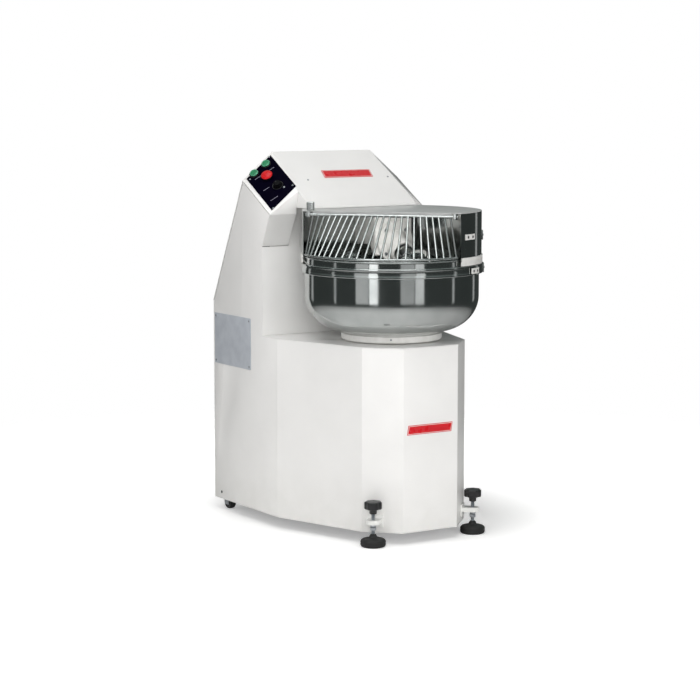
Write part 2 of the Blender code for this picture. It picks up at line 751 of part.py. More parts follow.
# ---- fork -------------------------------------------------------------------------------------
def make_nose():
    """The cast nose that reaches over the bowl's rim, hollow behind, with the flanged bearing boss."""
    top = GUARD_TOP_Z - 0.0006
    back = TOWER_FRONT_Y - GAP
    outline = [
        (FORK_FACE_Y, NOSE_LOW_Z),
        (NOSE_BELLY_Y, NOSE_LOW_Z),
        (NOSE_BELLY_Y + 0.024, NOSE_ARM_Z),
        (back, NOSE_ARM_Z),
        (back, top),
        (FORK_FACE_Y, top),
    ]
    upright = Matrix(((0, 0, 1, 0), (1, 0, 0, 0), (0, 1, 0, 0), (0, 0, 0, 1)))
    place = Matrix.Translation((FORK_X, 0, 0)) @ upright
    nose = add("head_nose", flat("head_nose", outline, 2 * NOSE_HALF, place), "cast")
    pocket = [
        (FORK_FACE_Y + NOSE_WALL, NOSE_ARM_Z + NOSE_WALL),
        (back + 0.01, NOSE_ARM_Z + NOSE_WALL),
        (back + 0.01, top - NOSE_WALL),
        (FORK_FACE_Y + NOSE_WALL, top - NOSE_WALL),
    ]
    bore = disc("bore", FORK_SHAFT_R + 0.006, -0.05, 0.05, fork_frame(), SMALL_SEGMENTS)
    cut(nose, flat("pocket", pocket, 2 * (NOSE_HALF - NOSE_WALL), place), bore)


def make_fork_bearing():
    """The bolted flange with its inclined boss, and the bearing in the boss's mouth."""
    frame = fork_frame()
    face = Matrix.Translation((FORK_X, FORK_FACE_Y - GAP, FORK_FACE_Z)) @ Matrix.Rotation(pi / 2, 4, "X")
    flange = add("fork_flange", disc("fork_flange", FLANGE_R, -0.004, FLANGE_THICK, face, 32), "cast")
    boss = disc("boss", BOSS_R, -0.010, BOSS_LENGTH, frame, 24)
    trim = Matrix.Translation((FORK_X, FORK_FACE_Y - GAP + 0.05, FORK_FACE_Z))
    behind = block("behind", (-0.12, -0.05, -0.12), (0.12, 0.05, 0.12), trim)
    mouth, seat, bore = BOSS_LENGTH + 0.01, BOSS_R - 0.009 + GAP, FORK_SHAFT_R + 0.003
    steps = [(0, mouth), (seat, mouth), (seat, BOSS_LENGTH - 0.018), (bore, BOSS_LENGTH - 0.018)]
    socket = turned("socket", [*steps, (bore, -0.06), (0, -0.06)], False, frame, 24)
    join(flange, boss)
    heads = []
    for turn in range(4):
        angle = pi / 4 + turn * pi / 2
        across, above = FLANGE_BOLTS_R * cos(angle), FLANGE_BOLTS_R * sin(angle)
        spot = Vector((FORK_X + across, FORK_FACE_Y, FORK_FACE_Z + above))
        near = spot + Vector((0, -FLANGE_THICK - 0.006, 0))
        heads.append(rod("head", spot + Vector((0, -0.004, 0)), near, 0.007, 6))
    join_more(flange, "bolt", heads)
    cut(flange, behind, socket)
    low = BOSS_LENGTH - 0.0177
    bearing = ring("fork_bearing", FORK_SHAFT_R + RUN, BOSS_R - 0.009, low, low + 0.016, frame, 24)
    add("fork_bearing", bearing, "steel")


def join_more(part, word, meshes):
    """Weld meshes to a part under names of their own."""
    for index, mesh in enumerate(meshes):
        boolean(part, tool(f"{part.name}_{word}{index}", mesh), "UNION")


def tine_path(side, count=14):
    """A tine's centre line along the fork's axis: out from the hub, bowed, and a little inwards at its tip."""
    start = HUB_START + HUB_LENGTH * 0.5
    points = []
    for index in range(count + 1):
        share = index / count
        height = start + (TINE_END - start) * (1 - (1 - share) ** 1.25)
        reach = TINE_REACH * sin(min(1.0, share * 1.22) * pi / 2) - 0.020 * max(0.0, share - 0.72) / 0.28
        twist = radians(30) * share
        radius = 0.006 + reach * 0.94
        points.append((side * radius * cos(twist), side * radius * sin(twist), height))
    return points


def make_fork():
    """The fork's shaft, and the fork itself: a hub with two bowed tines."""
    frame = fork_frame()
    low = -0.128
    shaft = disc("fork_shaft", FORK_SHAFT_R, low, HUB_START + HUB_LENGTH * 0.6, frame, 24)
    add("fork_shaft", shaft, "steel")
    bore = FORK_SHAFT_R + GAP
    deep = HUB_START + HUB_LENGTH * 0.6 + GAP
    profile = [
        (0, HUB_START + HUB_LENGTH),
        (HUB_R - 0.010, HUB_START + HUB_LENGTH),
        (HUB_R, HUB_START + HUB_LENGTH - 0.010),
        (HUB_R, HUB_START),
        (bore, HUB_START),
        (bore, deep),
        (0, deep),
    ]
    fork = add("fork", turned("fork", profile, False, frame, 24), "stainless")
    tines = []
    for side in (-1, 1):
        mesh = tube("tine", tine_path(side), TINE_R, 2)
        shape = bmesh.new()
        shape.from_mesh(mesh)
        tines.append(finish_mesh("tine", shape, frame))
    join(fork, *tines)
    cut(fork, disc("socket", bore, HUB_START - 0.02, deep, frame, 24))


# ---- drive ------------------------------------------------------------------------------------
def make_gearboxes():
    """The fork's gearbox on the mast's beam, and the bowl's gearbox under its spindle."""
    half = GEARBOX_HALF
    low = (FORK_X - half, GEARBOX_Y - half, GEARBOX_Z - half)
    high = (FORK_X + half, GEARBOX_Y + half, GEARBOX_Z + half)
    box = add("fork_gearbox", block("fork_gearbox", low, high), "cast")
    cut(box, disc("socket", FORK_SHAFT_R + RUN, -0.300, 0.0, fork_frame(), 24))
    soften(box, 0.006)
    low = (-BOWL_BOX[0], -BOWL_BOX[1], BOWL_BOX_LOW_Z)
    high = (BOWL_BOX[0], BOWL_BOX[1], BOWL_BOX_TOP_Z)
    lower = add("bowl_gearbox", block("bowl_gearbox", low, high), "cast")
    soften(lower, 0.006)


def make_motor():
    """The drive motor: a ribbed barrel with end bells, its feet and its terminal box, on the mast's shelf."""
    start, end = MOTOR_X
    profile = [(0, end), (0.060, end), (MOTOR_R, end - 0.030)]
    ribs = 3
    pitch = (end - start - 0.080) / ribs
    for index in range(ribs):
        high = end - 0.035 - index * pitch
        profile += [(MOTOR_R, high), (MOTOR_R, high - pitch * 0.6)]
        profile += [(MOTOR_R - 0.007, high - pitch * 0.62), (MOTOR_R - 0.007, high - pitch * 0.98)]
    profile += [(MOTOR_R, start + 0.040), (MOTOR_R, start + 0.006), (MOTOR_R - 0.006, start), (0, start)]
    motor = add("drive_motor", turned("drive_motor", profile, False, along_x(0, MOTOR_Y, MOTOR_Z), 24), "motor")
    foot_low = SHELF_Z + GAP
    feet = block("feet", (-0.110, MOTOR_Y - 0.070, foot_low), (0.060, MOTOR_Y + 0.070, MOTOR_Z - 0.060))
    box = block("box", (-0.090, MOTOR_Y - 0.040, MOTOR_Z + 0.060), (0.010, MOTOR_Y + 0.040, MOTOR_Z + 0.115))
    join(motor, feet, box)


def wheel_profile(groove, centre):
    """One pulley's outer side, from +X to -X: a lip, the groove the belt sits in, and the other lip."""
    half = BELT_WIDTH / 2 + 0.001
    lip = groove + PULLEY_LIP
    edge = half + 0.003
    return [
        (lip, centre + edge),
        (lip, centre + half),
        (groove, centre + half),
        (groove, centre - half),
        (lip, centre - half),
        (lip, centre - edge),
    ]


def make_pulley(name, y, z, wheels, shaft_x, shaft_r=0.012):
    """A shaft along X with its pulleys on it."""
    far = max(x for _, x in wheels) + BELT_WIDTH / 2 + 0.010
    profile = [(0, far), (shaft_r, far)]
    for groove, x in sorted(wheels, key=lambda wheel: -wheel[1]):
        outer = wheel_profile(groove, x)
        profile += [(shaft_r, outer[0][1]), *outer, (shaft_r, outer[-1][1])]
    profile += [(shaft_r, shaft_x), (0, shaft_x)]
    add(name, turned(name, profile, False, along_x(0, y, z), SMALL_SEGMENTS), "steel")


def belt_loop(first, second, count=10):
    """The outline of a belt round two pulleys, each (depth, height, radius), anticlockwise."""
    (y0, z0, r0), (y1, z1, r1) = first, second
    span = sqrt((y1 - y0) ** 2 + (z1 - z0) ** 2)
    heading = atan2(z1 - z0, y1 - y0)
    lean = pi / 2 + atan2(r1 - r0, sqrt(span**2 - (r1 - r0) ** 2))
    loop = []
    for index in range(count + 1):
        turn = heading + lean + (tau - 2 * lean) * index / count
        loop.append((y0 + r0 * cos(turn), z0 + r0 * sin(turn)))
    for index in range(count + 1):
        turn = heading - lean + 2 * lean * index / count
        loop.append((y1 + r1 * cos(turn), z1 + r1 * sin(turn)))
    return loop


def make_belt(name, x, first, second):
    """A belt: the band between the loop that clears the grooves and the same loop a belt's thickness out."""
    upright = Matrix(((0, 0, 1, 0), (1, 0, 0, 0), (0, 1, 0, 0), (0, 0, 0, 1)))
    place = Matrix.Translation((x, 0, 0)) @ upright
    grown = BELT_THICK + BELT_CLEAR
    outer = [(y, z, r + grown) for y, z, r in (first, second)]
    inner = [(y, z, r + BELT_CLEAR) for y, z, r in (first, second)]
    belt = add(name, flat(name, belt_loop(*outer), BELT_WIDTH, place), "rubber")
    cut(belt, flat("inside", belt_loop(*inner), BELT_WIDTH + 0.01, place))


def make_drive():
    """Motor shaft with two pulleys, the two driven pulleys, and the two belts."""
    make_gearboxes()
    make_motor()
    motor = (MOTOR_Y, MOTOR_Z, MOTOR_GROOVE_R)
    fork = (GEARBOX_Y, GEARBOX_Z, FORK_GROOVE_R)
    bowl_z = (BOWL_BOX_LOW_Z + BOWL_BOX_TOP_Z) / 2
    bowl = (0.0, bowl_z, BOWL_GROOVE_R)
    wheels = [(MOTOR_GROOVE_R, BOWL_PULLEY_X), (MOTOR_GROOVE_R, FORK_PULLEY_X)]
    make_pulley("motor_pulley", MOTOR_Y, MOTOR_Z, wheels, MOTOR_X[1] + GAP, 0.012)
    edge = FORK_X + GEARBOX_HALF + GAP
    make_pulley("fork_pulley", GEARBOX_Y, GEARBOX_Z, [(FORK_GROOVE_R, FORK_PULLEY_X)], edge)
    make_pulley("bowl_pulley", 0.0, bowl_z, [(BOWL_GROOVE_R, BOWL_PULLEY_X)], BOWL_BOX[0] + GAP)
    make_belt("fork_belt", FORK_PULLEY_X, motor, fork)
    make_belt("bowl_belt", BOWL_PULLEY_X, bowl, motor)


# ---- guard ------------------------------------------------------------------------------------
def make_guard_shell():
    """The fixed curved sheet with the notch round the nose casting, its skirt strip and the flat top cover."""
    count = 44
    line = list(reversed(arc(GUARD_R, GUARD_RIGHT, GUARD_LEFT, count)))
    sheet = add("guard_sheet", strip("guard_sheet", line, GUARD_LOW_Z, GUARD_TOP_Z), "stainless")
    thicken(sheet, GUARD_SHEET)
    clear = 0.002
    low = (FORK_X - NOSE_HALF - clear, FORK_FACE_Y - 0.020, NOSE_ARM_Z - clear)
    high = (FORK_X + NOSE_HALF + clear, TOWER_FRONT_Y + 0.008, GUARD_TOP_Z + 0.01)
    cut(sheet, block("notch", low, high))
    outer = GUARD_R + SKIRT_THICK + GAP
    line = list(reversed(arc(outer, GUARD_RIGHT, GUARD_LEFT, count)))
    skirt = add("guard_skirt", strip("guard_skirt", line, SKIRT_LOW_Z, SKIRT_TOP_Z), "nylon")
    thicken(skirt, SKIRT_THICK)
    outline = arc(GUARD_R, GUARD_RIGHT, GUARD_LEFT, count)
    place = Matrix.Translation((0, 0, GUARD_TOP_Z + GAP + COVER_THICK / 2))
    add("guard_cover", flat("guard_cover", outline, COVER_THICK, place), "grey")


def make_hinges():
    """The two hinge blocks under the cover's straight edge, and the interlock switch on its left end."""
    right, left = hinge_line()
    direction = (left - right).normalized()
    inwards = Vector((-direction.y, direction.x, 0))
    if inwards.dot(right) > 0:
        inwards.negate()
    upwards = Vector((0, 0, 1))
    turn = Matrix((inwards.cross(upwards), inwards, upwards)).transposed().to_4x4()
    for word, end, step in (("right", right, 1), ("left", left, -1)):
        centre = end + direction * step * 0.019
        low = (-0.006, -0.0085, -0.0085)
        high = (0.006, 0.0085, GUARD_TOP_Z - HINGE_Z - 0.0002)
        place = Matrix.Translation(centre) @ turn
        hinge = add(f"guard_hinge_{word}", block("hinge", low, high, place), "stainless")
        ends = [centre + direction * reach for reach in (-0.02, 0.02)]
        cut(hinge, rod("bore", ends[0], ends[1], HINGE_BAR_R + RUN, 24))
    place = Matrix.Translation(left - direction * 0.022 + inwards * 0.014) @ turn
    low = GUARD_TOP_Z + COVER_THICK + 2 * GAP - HINGE_Z
    body = block("switch", (-0.012, -0.008, low), (0.012, 0.008, low + 0.028), place)
    switch = add("interlock_switch", body, "steel")
    soften(switch, 0.002)


def make_flap():
    """The wire flap: a straight hinge bar, a curved bottom ring and the rods between them, welded."""
    right, left = hinge_line()
    length = (left - right).length
    direction = (left - right) / length
    bar_right = right + direction * 0.010
    bar_left = left - direction * 0.010
    margin = radians(2.2)
    turns = (GUARD_RIGHT - margin, GUARD_LEFT - tau + margin)
    ring_points = [
        (FLAP_RING_R * cos(turns[0] + (turns[1] - turns[0]) * i / 32),
         FLAP_RING_R * sin(turns[0] + (turns[1] - turns[0]) * i / 32), FLAP_RING_Z)
        for i in range(33)
    ]
    flap = add("guard_flap", tube("guard_flap", ring_points, FLAP_TUBE_R, 1), "stainless")
    rods = []
    for index in range(ROD_COUNT):
        share = index / (ROD_COUNT - 1)
        turn = turns[0] + (turns[1] - turns[0]) * (0.006 + 0.988 * share)
        foot = Vector((FLAP_RING_R * cos(turn), FLAP_RING_R * sin(turn), FLAP_RING_Z - 0.001))
        head = right + direction * (ROD_INSET + (length - 2 * ROD_INSET) * share) + Vector((0, 0, 0.002))
        rods.append(rod("rod", foot, head, ROD_R, 6))
    join(flap, rod("bar", bar_right, bar_left, HINGE_BAR_R, 16), *rods)


def behind_lean():
    """A block behind the plane of the tower's leaning faces, for what ends on them."""
    top = shoulder_corners()[3]
    lean = atan2(TOWER_FRONT_Y - LEAN_TOP_Y, top.z - LEAN_LOW_Z)
    place = Matrix.Translation((0, TOWER_FRONT_Y, LEAN_LOW_Z)) @ Matrix.Rotation(lean, 4, "X")
    return block("behind_lean", (-0.4, -GAP, 0.0), (0.4, 0.2, 0.2), place)


def make_stays():
    """Two curved stay bars that hold the guard to the tower on the right, each with its bolted end plate."""
    upper = GUARD_R + RUN
    start = radians(-36)
    end = acos((HEAD_HALF + STAY_ASIDE) / (upper + STAY_THICK))
    for word, low, inner in (("upper", UPPER_STAY_Z, upper), ("lower", LOWER_STAY_Z, upper + STAY_THICK)):
        outer = inner + STAY_THICK
        line = list(reversed(arc(outer, start, end, 14)))
        stay = add(f"guard_stay_{word}", strip("stay", line, low, low + STAY_HEIGHT), "stainless")
        thicken(stay, STAY_THICK)
        corner = Vector((outer * cos(end), outer * sin(end)))
        near, far = corner.x + 0.0002, corner.x + STAY_THICK
        reach = TOWER_FRONT_Y - GAP
        leg = block("leg", (near, corner.y - 0.004, low), (far, reach, low + STAY_HEIGHT))
        join(stay, leg)
        cut(stay, behind_lean())


# ---- controls ---------------------------------------------------------------------------------
def shoulder_place(at):
    """A place on the shoulder, given across and up it from the plate's centre."""
    return shoulder_frame() @ Matrix.Translation((at[0], at[1], 0))


def control_holes(radius_start, radius_stop, radius_dial, low, high):
    """One cutter for each control, from one height over the shoulder to another."""
    spots = [(at, radius_start) for at in START_AT]
    spots += [(STOP_AT, radius_stop), (DIAL_AT, radius_dial)]
    return [disc("hole", radius, low, high, shoulder_place(at), 24) for at, radius in spots]


def make_controls():
    """The control plate, its buttons and dial, and the box of contacts behind it."""
    frame = shoulder_frame()
    half_width, half_length = PLATE_WIDTH / 2, PLATE_LENGTH / 2
    hole = BUTTON_STEM_R + RUN
    rear_outer, rear_inner, _, _ = shoulder_corners()
    edge = frame.to_3x3().inverted() @ (rear_inner - rear_outer)
    skew = half_width * edge.y / edge.x
    outline = [
        (-half_width, -half_length - skew),
        (half_width, -half_length + skew),
        (half_width, half_length + skew),
        (-half_width, half_length - skew),
    ]
    place = frame @ Matrix.Translation((0, 0, GAP + PLATE_THICK / 2))
    plate = add("control_plate", flat("control_plate", outline, PLATE_THICK, place), "panel")
    cut(plate, *control_holes(hole, hole, hole, -0.01, 0.01))
    cut_hood = bpy.data.objects["head_hood"]
    for index, mesh in enumerate(control_holes(hole + 0.001, hole + 0.001, hole + 0.001, -0.02, 0.02)):
        boolean(cut_hood, tool(f"head_hood_hole{index}", mesh), "DIFFERENCE")
    low = (-half_width + 0.012, -half_length + 0.052, -0.046)
    high = (half_width - 0.018, half_length - 0.026, -0.016)
    add("control_box", block("control_box", low, high, frame), "black")
    face = GAP + PLATE_THICK
    rest = -0.0155 + PRESS + 0.001
    for word, at in zip(("one", "two"), START_AT):
        profile = [
            (0, face + 0.0085),
            (START_R - 0.003, face + 0.0085),
            (START_R, face + 0.006),
            (START_R, face + PRESS + 0.0005),
            (BUTTON_STEM_R, face + PRESS + 0.0005),
            (BUTTON_STEM_R, rest),
            (0, rest),
        ]
        add(f"start_button_{word}", turned("button", profile, False, shoulder_place(at), 28), "green")
    lift = face + PRESS + 0.0005
    profile = [
        (0, lift + 0.020),
        (STOP_R * 0.55, lift + 0.018),
        (STOP_R * 0.90, lift + 0.0135),
        (STOP_R, lift + 0.009),
        (STOP_R * 0.95, lift + 0.005),
        (BUTTON_STEM_R + 0.003, lift),
        (BUTTON_STEM_R, lift),
        (BUTTON_STEM_R, rest),
        (0, rest),
    ]
    add("emergency_stop", turned("emergency_stop", profile, False, shoulder_place(STOP_AT), 32), "red")
    profile = [
        (0, face + 0.014),
        (DIAL_R - 0.003, face + 0.014),
        (DIAL_R, face + 0.011),
        (DIAL_R, face + 0.0006),
        (BUTTON_STEM_R, face + 0.0006),
        (BUTTON_STEM_R, rest),
        (0, rest),
    ]
    dial = add("timer_dial", turned("timer_dial", profile, False, shoulder_place(DIAL_AT), 28), "black")
    pointer = ((-0.002, 0.002, face + 0.012), (0.002, DIAL_R - 0.001, face + 0.016))
    join(dial, block("pointer", *pointer, shoulder_place(DIAL_AT)))


# ---- covers, badges and feet ------------------------------------------------------------------
def make_covers():
    """The electrical cover on the left side, the contactor plate behind its hatch, and the two badges."""
    outer = -BODY_HALF - GAP
    cover = add(
        "electrical_cover",
        block("cover", (outer - SHEET, COVER_Y[0], COVER_Z[0]), (outer, COVER_Y[1], COVER_Z[1])),
        "grey",
    )
    heads = []
    for y in (COVER_Y[0] + 0.010, COVER_Y[1] - 0.010):
        for z in (COVER_Z[0] + 0.010, COVER_Z[1] - 0.010):
            heads.append(rod("head", (outer - 0.001, y, z), (outer - SHEET - 0.0015, y, z), 0.004, 12))
    join(cover, *heads)
    x, depth, width, length = HEAD_BADGE
    tilt = Matrix.Rotation(atan2(SLOPE, 1.0), 4, "X")
    place = Matrix.Translation((x, depth, head_height(depth))) @ tilt
    low = (-width / 2, -length / 2, GAP)
    badge = add("badge_head", block("badge", low, (width / 2, length / 2, GAP + BADGE_THICK), place), "red")
    soften(badge, 0.0004)
    x, height, width, length = FRONT_BADGE
    low = (x - width / 2, FRONT_Y - GAP - BADGE_THICK, height - length / 2)
    high = (x + width / 2, FRONT_Y - GAP, height + length / 2)
    badge = add("badge_front", block("badge", low, high), "red")
    soften(badge, 0.0004)


def make_foot(side, word):
    """A stabiliser: the bracket on its facet, the screw with its knob, and the pad under it."""
    frame = foot_frame(side)
    wall = -FOOT_OUT + GAP
    half = ARM_WIDTH / 2
    low, top = ARM_Z
    bracket = add(
        f"foot_bracket_{word}",
        block("arm", (wall + 0.002, -half, low), (0.0, half, top), frame),
        "paint",
    )
    end = disc("end", half, low, top, frame, 24)
    back = block("back", (wall, -half - 0.004, low - 0.016), (wall + 0.005, half + 0.004, top + 0.010), frame)
    join(bracket, end, back)
    cut(bracket, disc("bore", SCREW_R + RUN, low - 0.01, top + 0.01, frame, 24))
    stop = low - 0.0006
    profile = [
        (0, KNOB_HUB_LOW_Z + 0.004),
        (SCREW_R, KNOB_HUB_LOW_Z + 0.004),
        (SCREW_R, stop),
        (0.0105, stop),
        (0.0105, stop - 0.020),
        (SCREW_R, stop - 0.020),
        (SCREW_R, PAD_DOME_TOP + GAP),
        (0, PAD_DOME_TOP + GAP),
    ]
    screw = add(f"foot_screw_{word}", turned("screw", profile, False, frame, 24), "steel")
    crown = KNOB_TOP_Z
    profile = [
        (0, crown),
        (KNOB_R - 0.004, crown),
        (KNOB_R, crown - 0.006),
        (KNOB_R, KNOB_LOW_Z + 0.006),
        (KNOB_R - 0.005, KNOB_LOW_Z),
        (KNOB_HUB_R + 0.001, KNOB_LOW_Z),
        (KNOB_HUB_R, KNOB_HUB_LOW_Z),
        (0, KNOB_HUB_LOW_Z),
    ]
    join(screw, turned("knob", profile, False, frame, 24))
    profile = [
        (0, PAD_DOME_TOP),
        (0.009, PAD_DOME_TOP),
        (0.014, PAD_DOME_TOP - 0.009),
        (PAD_R - 0.010, PAD_HEIGHT - 0.001),
        (PAD_R, PAD_HEIGHT - 0.009),
        (PAD_R, 0.006),
        (PAD_R - 0.006, 0),
        (0, 0),
    ]
    add(f"foot_pad_{word}", turned("pad", profile, False, frame, 24), "rubber")


def pivot(name, point):
    """Move a part's origin to a point on the axis it moves about, leaving its shape where it is."""
    part = bpy.data.objects[name]
    part.data.transform(Matrix.Translation(-Vector(point)))
    part.location = point


def place_origins():
    """Put each moving part's origin on its joint's axis."""
    fork_origin = fork_frame().translation
    for name in ("fork", "fork_shaft"):
        pivot(name, fork_origin)
    pivot("motor_pulley", (0, MOTOR_Y, MOTOR_Z))
    pivot("fork_pulley", (0, GEARBOX_Y, GEARBOX_Z))
    pivot("bowl_pulley", (0, 0, (BOWL_BOX_LOW_Z + BOWL_BOX_TOP_Z) / 2))
    pivot("guard_flap", hinge_line()[0])
    spots = {"start_button_one": START_AT[0], "start_button_two": START_AT[1]}
    spots.update({"emergency_stop": STOP_AT, "timer_dial": DIAL_AT})
    for name, at in spots.items():
        pivot(name, shoulder_place(at).translation)
    for side, word in ((-1, "left"), (1, "right")):
        pivot(f"castor_wheel_{word}", (side * CASTOR_X, CASTOR_Y, CASTOR_R))
        for piece in ("screw", "pad"):
            pivot(f"foot_{piece}_{word}", foot_frame(side).translation)


def centre_footprint():
    """Move everything so that the origin is the centre of the footprint, on the floor."""
    middle = (REAR_Y - BAND_R) / 2
    for item in bpy.data.objects:
        item.location.y -= middle


def smooth_round_parts():
    """Shade every part smooth across shallow angles only."""
    for part in bpy.data.collections[PARTS].objects:
        part.data.shade_smooth()
        part.data.set_sharp_from_angle(angle=radians(35))


def build():
    """Make every part, in the order it would be put together."""
    clear_scene()
    make_base()
    make_pedestal()
    make_side_panels()
    make_tower_front()
    make_head_hood()
    make_rear()
    make_bowl()
    make_bowl_bearing()
    make_nose()
    make_fork_bearing()
    make_fork()
    make_drive()
    make_guard_shell()
    make_hinges()
    make_flap()
    make_stays()
    make_controls()
    make_covers()
    for side, word in ((-1, "left"), (1, "right")):
        make_castor(side, word)
        make_foot(side, word)
    place_origins()
    centre_footprint()
    smooth_round_parts()


build()
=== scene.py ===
"""Looks of the fork dough mixer: folded white sheet body, spun bowl, wire guard, controls and feet."""

import json
from math import cos, pi, radians, sin, tau

import bmesh
import bpy
import numpy as np
from mathutils import Matrix, Vector

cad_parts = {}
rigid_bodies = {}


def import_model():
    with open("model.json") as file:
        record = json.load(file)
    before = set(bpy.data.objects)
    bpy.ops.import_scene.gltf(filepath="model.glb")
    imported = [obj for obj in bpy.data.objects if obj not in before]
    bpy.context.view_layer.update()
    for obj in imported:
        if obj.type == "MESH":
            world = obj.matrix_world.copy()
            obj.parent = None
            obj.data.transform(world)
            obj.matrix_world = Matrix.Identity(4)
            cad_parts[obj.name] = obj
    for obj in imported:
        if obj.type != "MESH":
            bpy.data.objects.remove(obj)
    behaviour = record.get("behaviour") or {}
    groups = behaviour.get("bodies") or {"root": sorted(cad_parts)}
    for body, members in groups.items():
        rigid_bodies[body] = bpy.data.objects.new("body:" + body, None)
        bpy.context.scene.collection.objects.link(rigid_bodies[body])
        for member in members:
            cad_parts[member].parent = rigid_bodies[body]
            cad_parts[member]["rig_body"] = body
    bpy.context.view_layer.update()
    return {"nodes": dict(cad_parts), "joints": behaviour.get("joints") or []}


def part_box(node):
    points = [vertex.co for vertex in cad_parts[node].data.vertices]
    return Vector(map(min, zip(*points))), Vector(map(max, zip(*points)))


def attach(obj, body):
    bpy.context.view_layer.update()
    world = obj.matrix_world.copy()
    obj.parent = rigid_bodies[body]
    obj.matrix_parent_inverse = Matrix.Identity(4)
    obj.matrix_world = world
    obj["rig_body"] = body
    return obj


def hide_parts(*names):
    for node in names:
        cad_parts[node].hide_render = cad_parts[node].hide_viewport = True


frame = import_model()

JOINTS = {joint["name"]: joint for joint in frame["joints"]}

# ---- sizes and places, in metres, in the frame's own axes ------------------------------------
MM = 0.001
SHEET = 2.0 * MM  # body sheet steel
BEND = 5.0 * MM  # outer radius of a fold in the sheet
APRON_BENDS = ((0.203, -0.310), (0.106, -0.408))  # the apron's bends on its right side, from the rear
HEAD_RIDGE, HEAD_FOOT = Vector((0, 0.263, 1.252)), Vector((0, -0.005, 1.0785))  # the head panel's slope
AXIS = (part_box("bowl_band")[0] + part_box("bowl_band")[1]) / 2
BOWL_CENTRE = Vector((AXIS.x, AXIS.y, 0.0))
BOWL_WALL, BOWL_FLOOR_R, BOWL_CURVE = 2.5 * MM, 0.158, 0.116  # wall, flat floor, height of the corner
GUARD_ARC = (radians(-75), radians(158))
GUARD_R, SKIRT_R, FLAP_RING_R = 0.296, 0.2993, 0.290
STAY_R = {"upper": 0.3006, "lower": 0.3046}  # outer faces of the stays
NOTCH_ARC = (radians(47.6), radians(81.5))
NOTCH_DROP = 0.1294  # from the nose's top down to the foot of the guard's notch
# Places on the control plate: x across and y up from its centre.
START_AT = ((0.0256, 0.0883), (-0.0263, 0.0775))
STOP_AT = (0.002, 0.031)
DIAL_AT = (0.011, -0.030)
LAMP_AT = (0.0236, -0.0526)
LABELS = ((0.002, 0.0535, 0.080), (-0.027, -0.016, 0.024), (-0.026, -0.075, 0.030))  # x, y, length
PLATE_HALF, PLATE_SKEW = (0.058, 0.097), 0.0265  # the control plate's half sides and its lean
FILL = 0.06  # strength of the even fill on matt surfaces
ROOM = (0.05, 0.45)  # brightness of the room in reflections, at the horizon and overhead


# ---- small mesh language ---------------------------------------------------------------------
def together(*shapes):
    """Several shapes as one: their points in a row, each shape's faces counted on from the last."""
    points, faces, start = [], [], 0
    for own_points, own_faces in shapes:
        points.append(np.asarray(own_points, float).reshape(-1, 3))
        faces += [tuple(int(corner) + start for corner in face) for face in own_faces]
        start += len(points[-1])
    return np.concatenate(points), faces


def mm(*points):
    """Points given in millimetres, as metres."""
    return np.array(points, float) * MM


def placed(shape, matrix):
    """A shape turned and moved by a matrix."""
    turn = np.array(matrix)
    return shape[0] @ turn[:3, :3].T + turn[:3, 3], shape[1]


def grid(points, wrap_rows=False, wrap_columns=False):
    """The quads of a rows x columns x 3 array of points, each from a point to its next row and column."""
    rows, columns = points.shape[:2]
    row = np.arange(rows if wrap_rows else rows - 1)[:, None]
    column = np.arange(columns if wrap_columns else columns - 1)[None, :]
    next_row, next_column = (row + 1) % rows, (column + 1) % columns
    corners = (row, column), (next_row, column), (next_row, next_column), (row, next_column)
    faces = np.stack([(r * columns + c).ravel() for r, c in corners], axis=1)
    return points.reshape(-1, 3), faces.tolist()


def turned(profile, segments=96, matrix=None):
    """A profile of (radius, height) spun about Z: x = r cos t, y = r sin t, z = h, for t round the circle.
    A profile that starts and ends on the axis is open, and any other is closed on itself."""
    profile = np.asarray(profile, float)
    turn = np.arange(segments) * tau / segments
    radius, height = profile[:, 0], profile[:, 1]
    x, y = np.outer(np.cos(turn), radius), np.outer(np.sin(turn), radius)
    points = np.stack([x, y, np.tile(height, (segments, 1))], axis=2)
    shape = grid(points, wrap_rows=True, wrap_columns=bool(radius[0] > 0 and radius[-1] > 0))
    return placed(shape, matrix) if matrix is not None else shape


def inset(outline, distance):
    """An anticlockwise outline moved inwards: each corner goes along the mean of its edges' normals."""
    after = np.roll(outline, -1, axis=0) - outline
    after /= np.linalg.norm(after, axis=1, keepdims=True)
    before = np.roll(after, 1, axis=0)
    normal = np.stack([-before[:, 1] - after[:, 1], before[:, 0] + after[:, 0]], axis=1)
    normal /= np.linalg.norm(normal, axis=1, keepdims=True)
    reach = normal[:, 0] * -after[:, 1] + normal[:, 1] * after[:, 0]
    return outline + normal * (distance / np.maximum(reach, 0.3))[:, None]


def plate(outline, low, high, edge=0.5 * MM, steps=3, matrix=None):
    """An outline raised from low to high. Its rims are rounded: inset e(1 - sin t), rise e(1 - cos t)."""
    outline = np.asarray(outline, float)
    turn = np.linspace(0, pi / 2, steps + 1)
    insets = edge * (1 - np.sin(turn))
    rises = edge * (1 - np.cos(turn))
    levels = [(i, low + r) for i, r in zip(insets, rises)]
    levels += [(i, high - r) for i, r in zip(insets[::-1], rises[::-1])]
    rings = [np.column_stack([inset(outline, i), np.full(len(outline), z)]) for i, z in levels]
    points, faces = grid(np.stack(rings), wrap_columns=True)
    count, last = len(outline), len(outline) * (len(levels) - 1)
    faces = [tuple(reversed(face)) for face in faces]
    faces += [tuple(range(count - 1, -1, -1)), tuple(range(last, last + count))]
    return placed((points, faces), matrix) if matrix is not None else (points, faces)


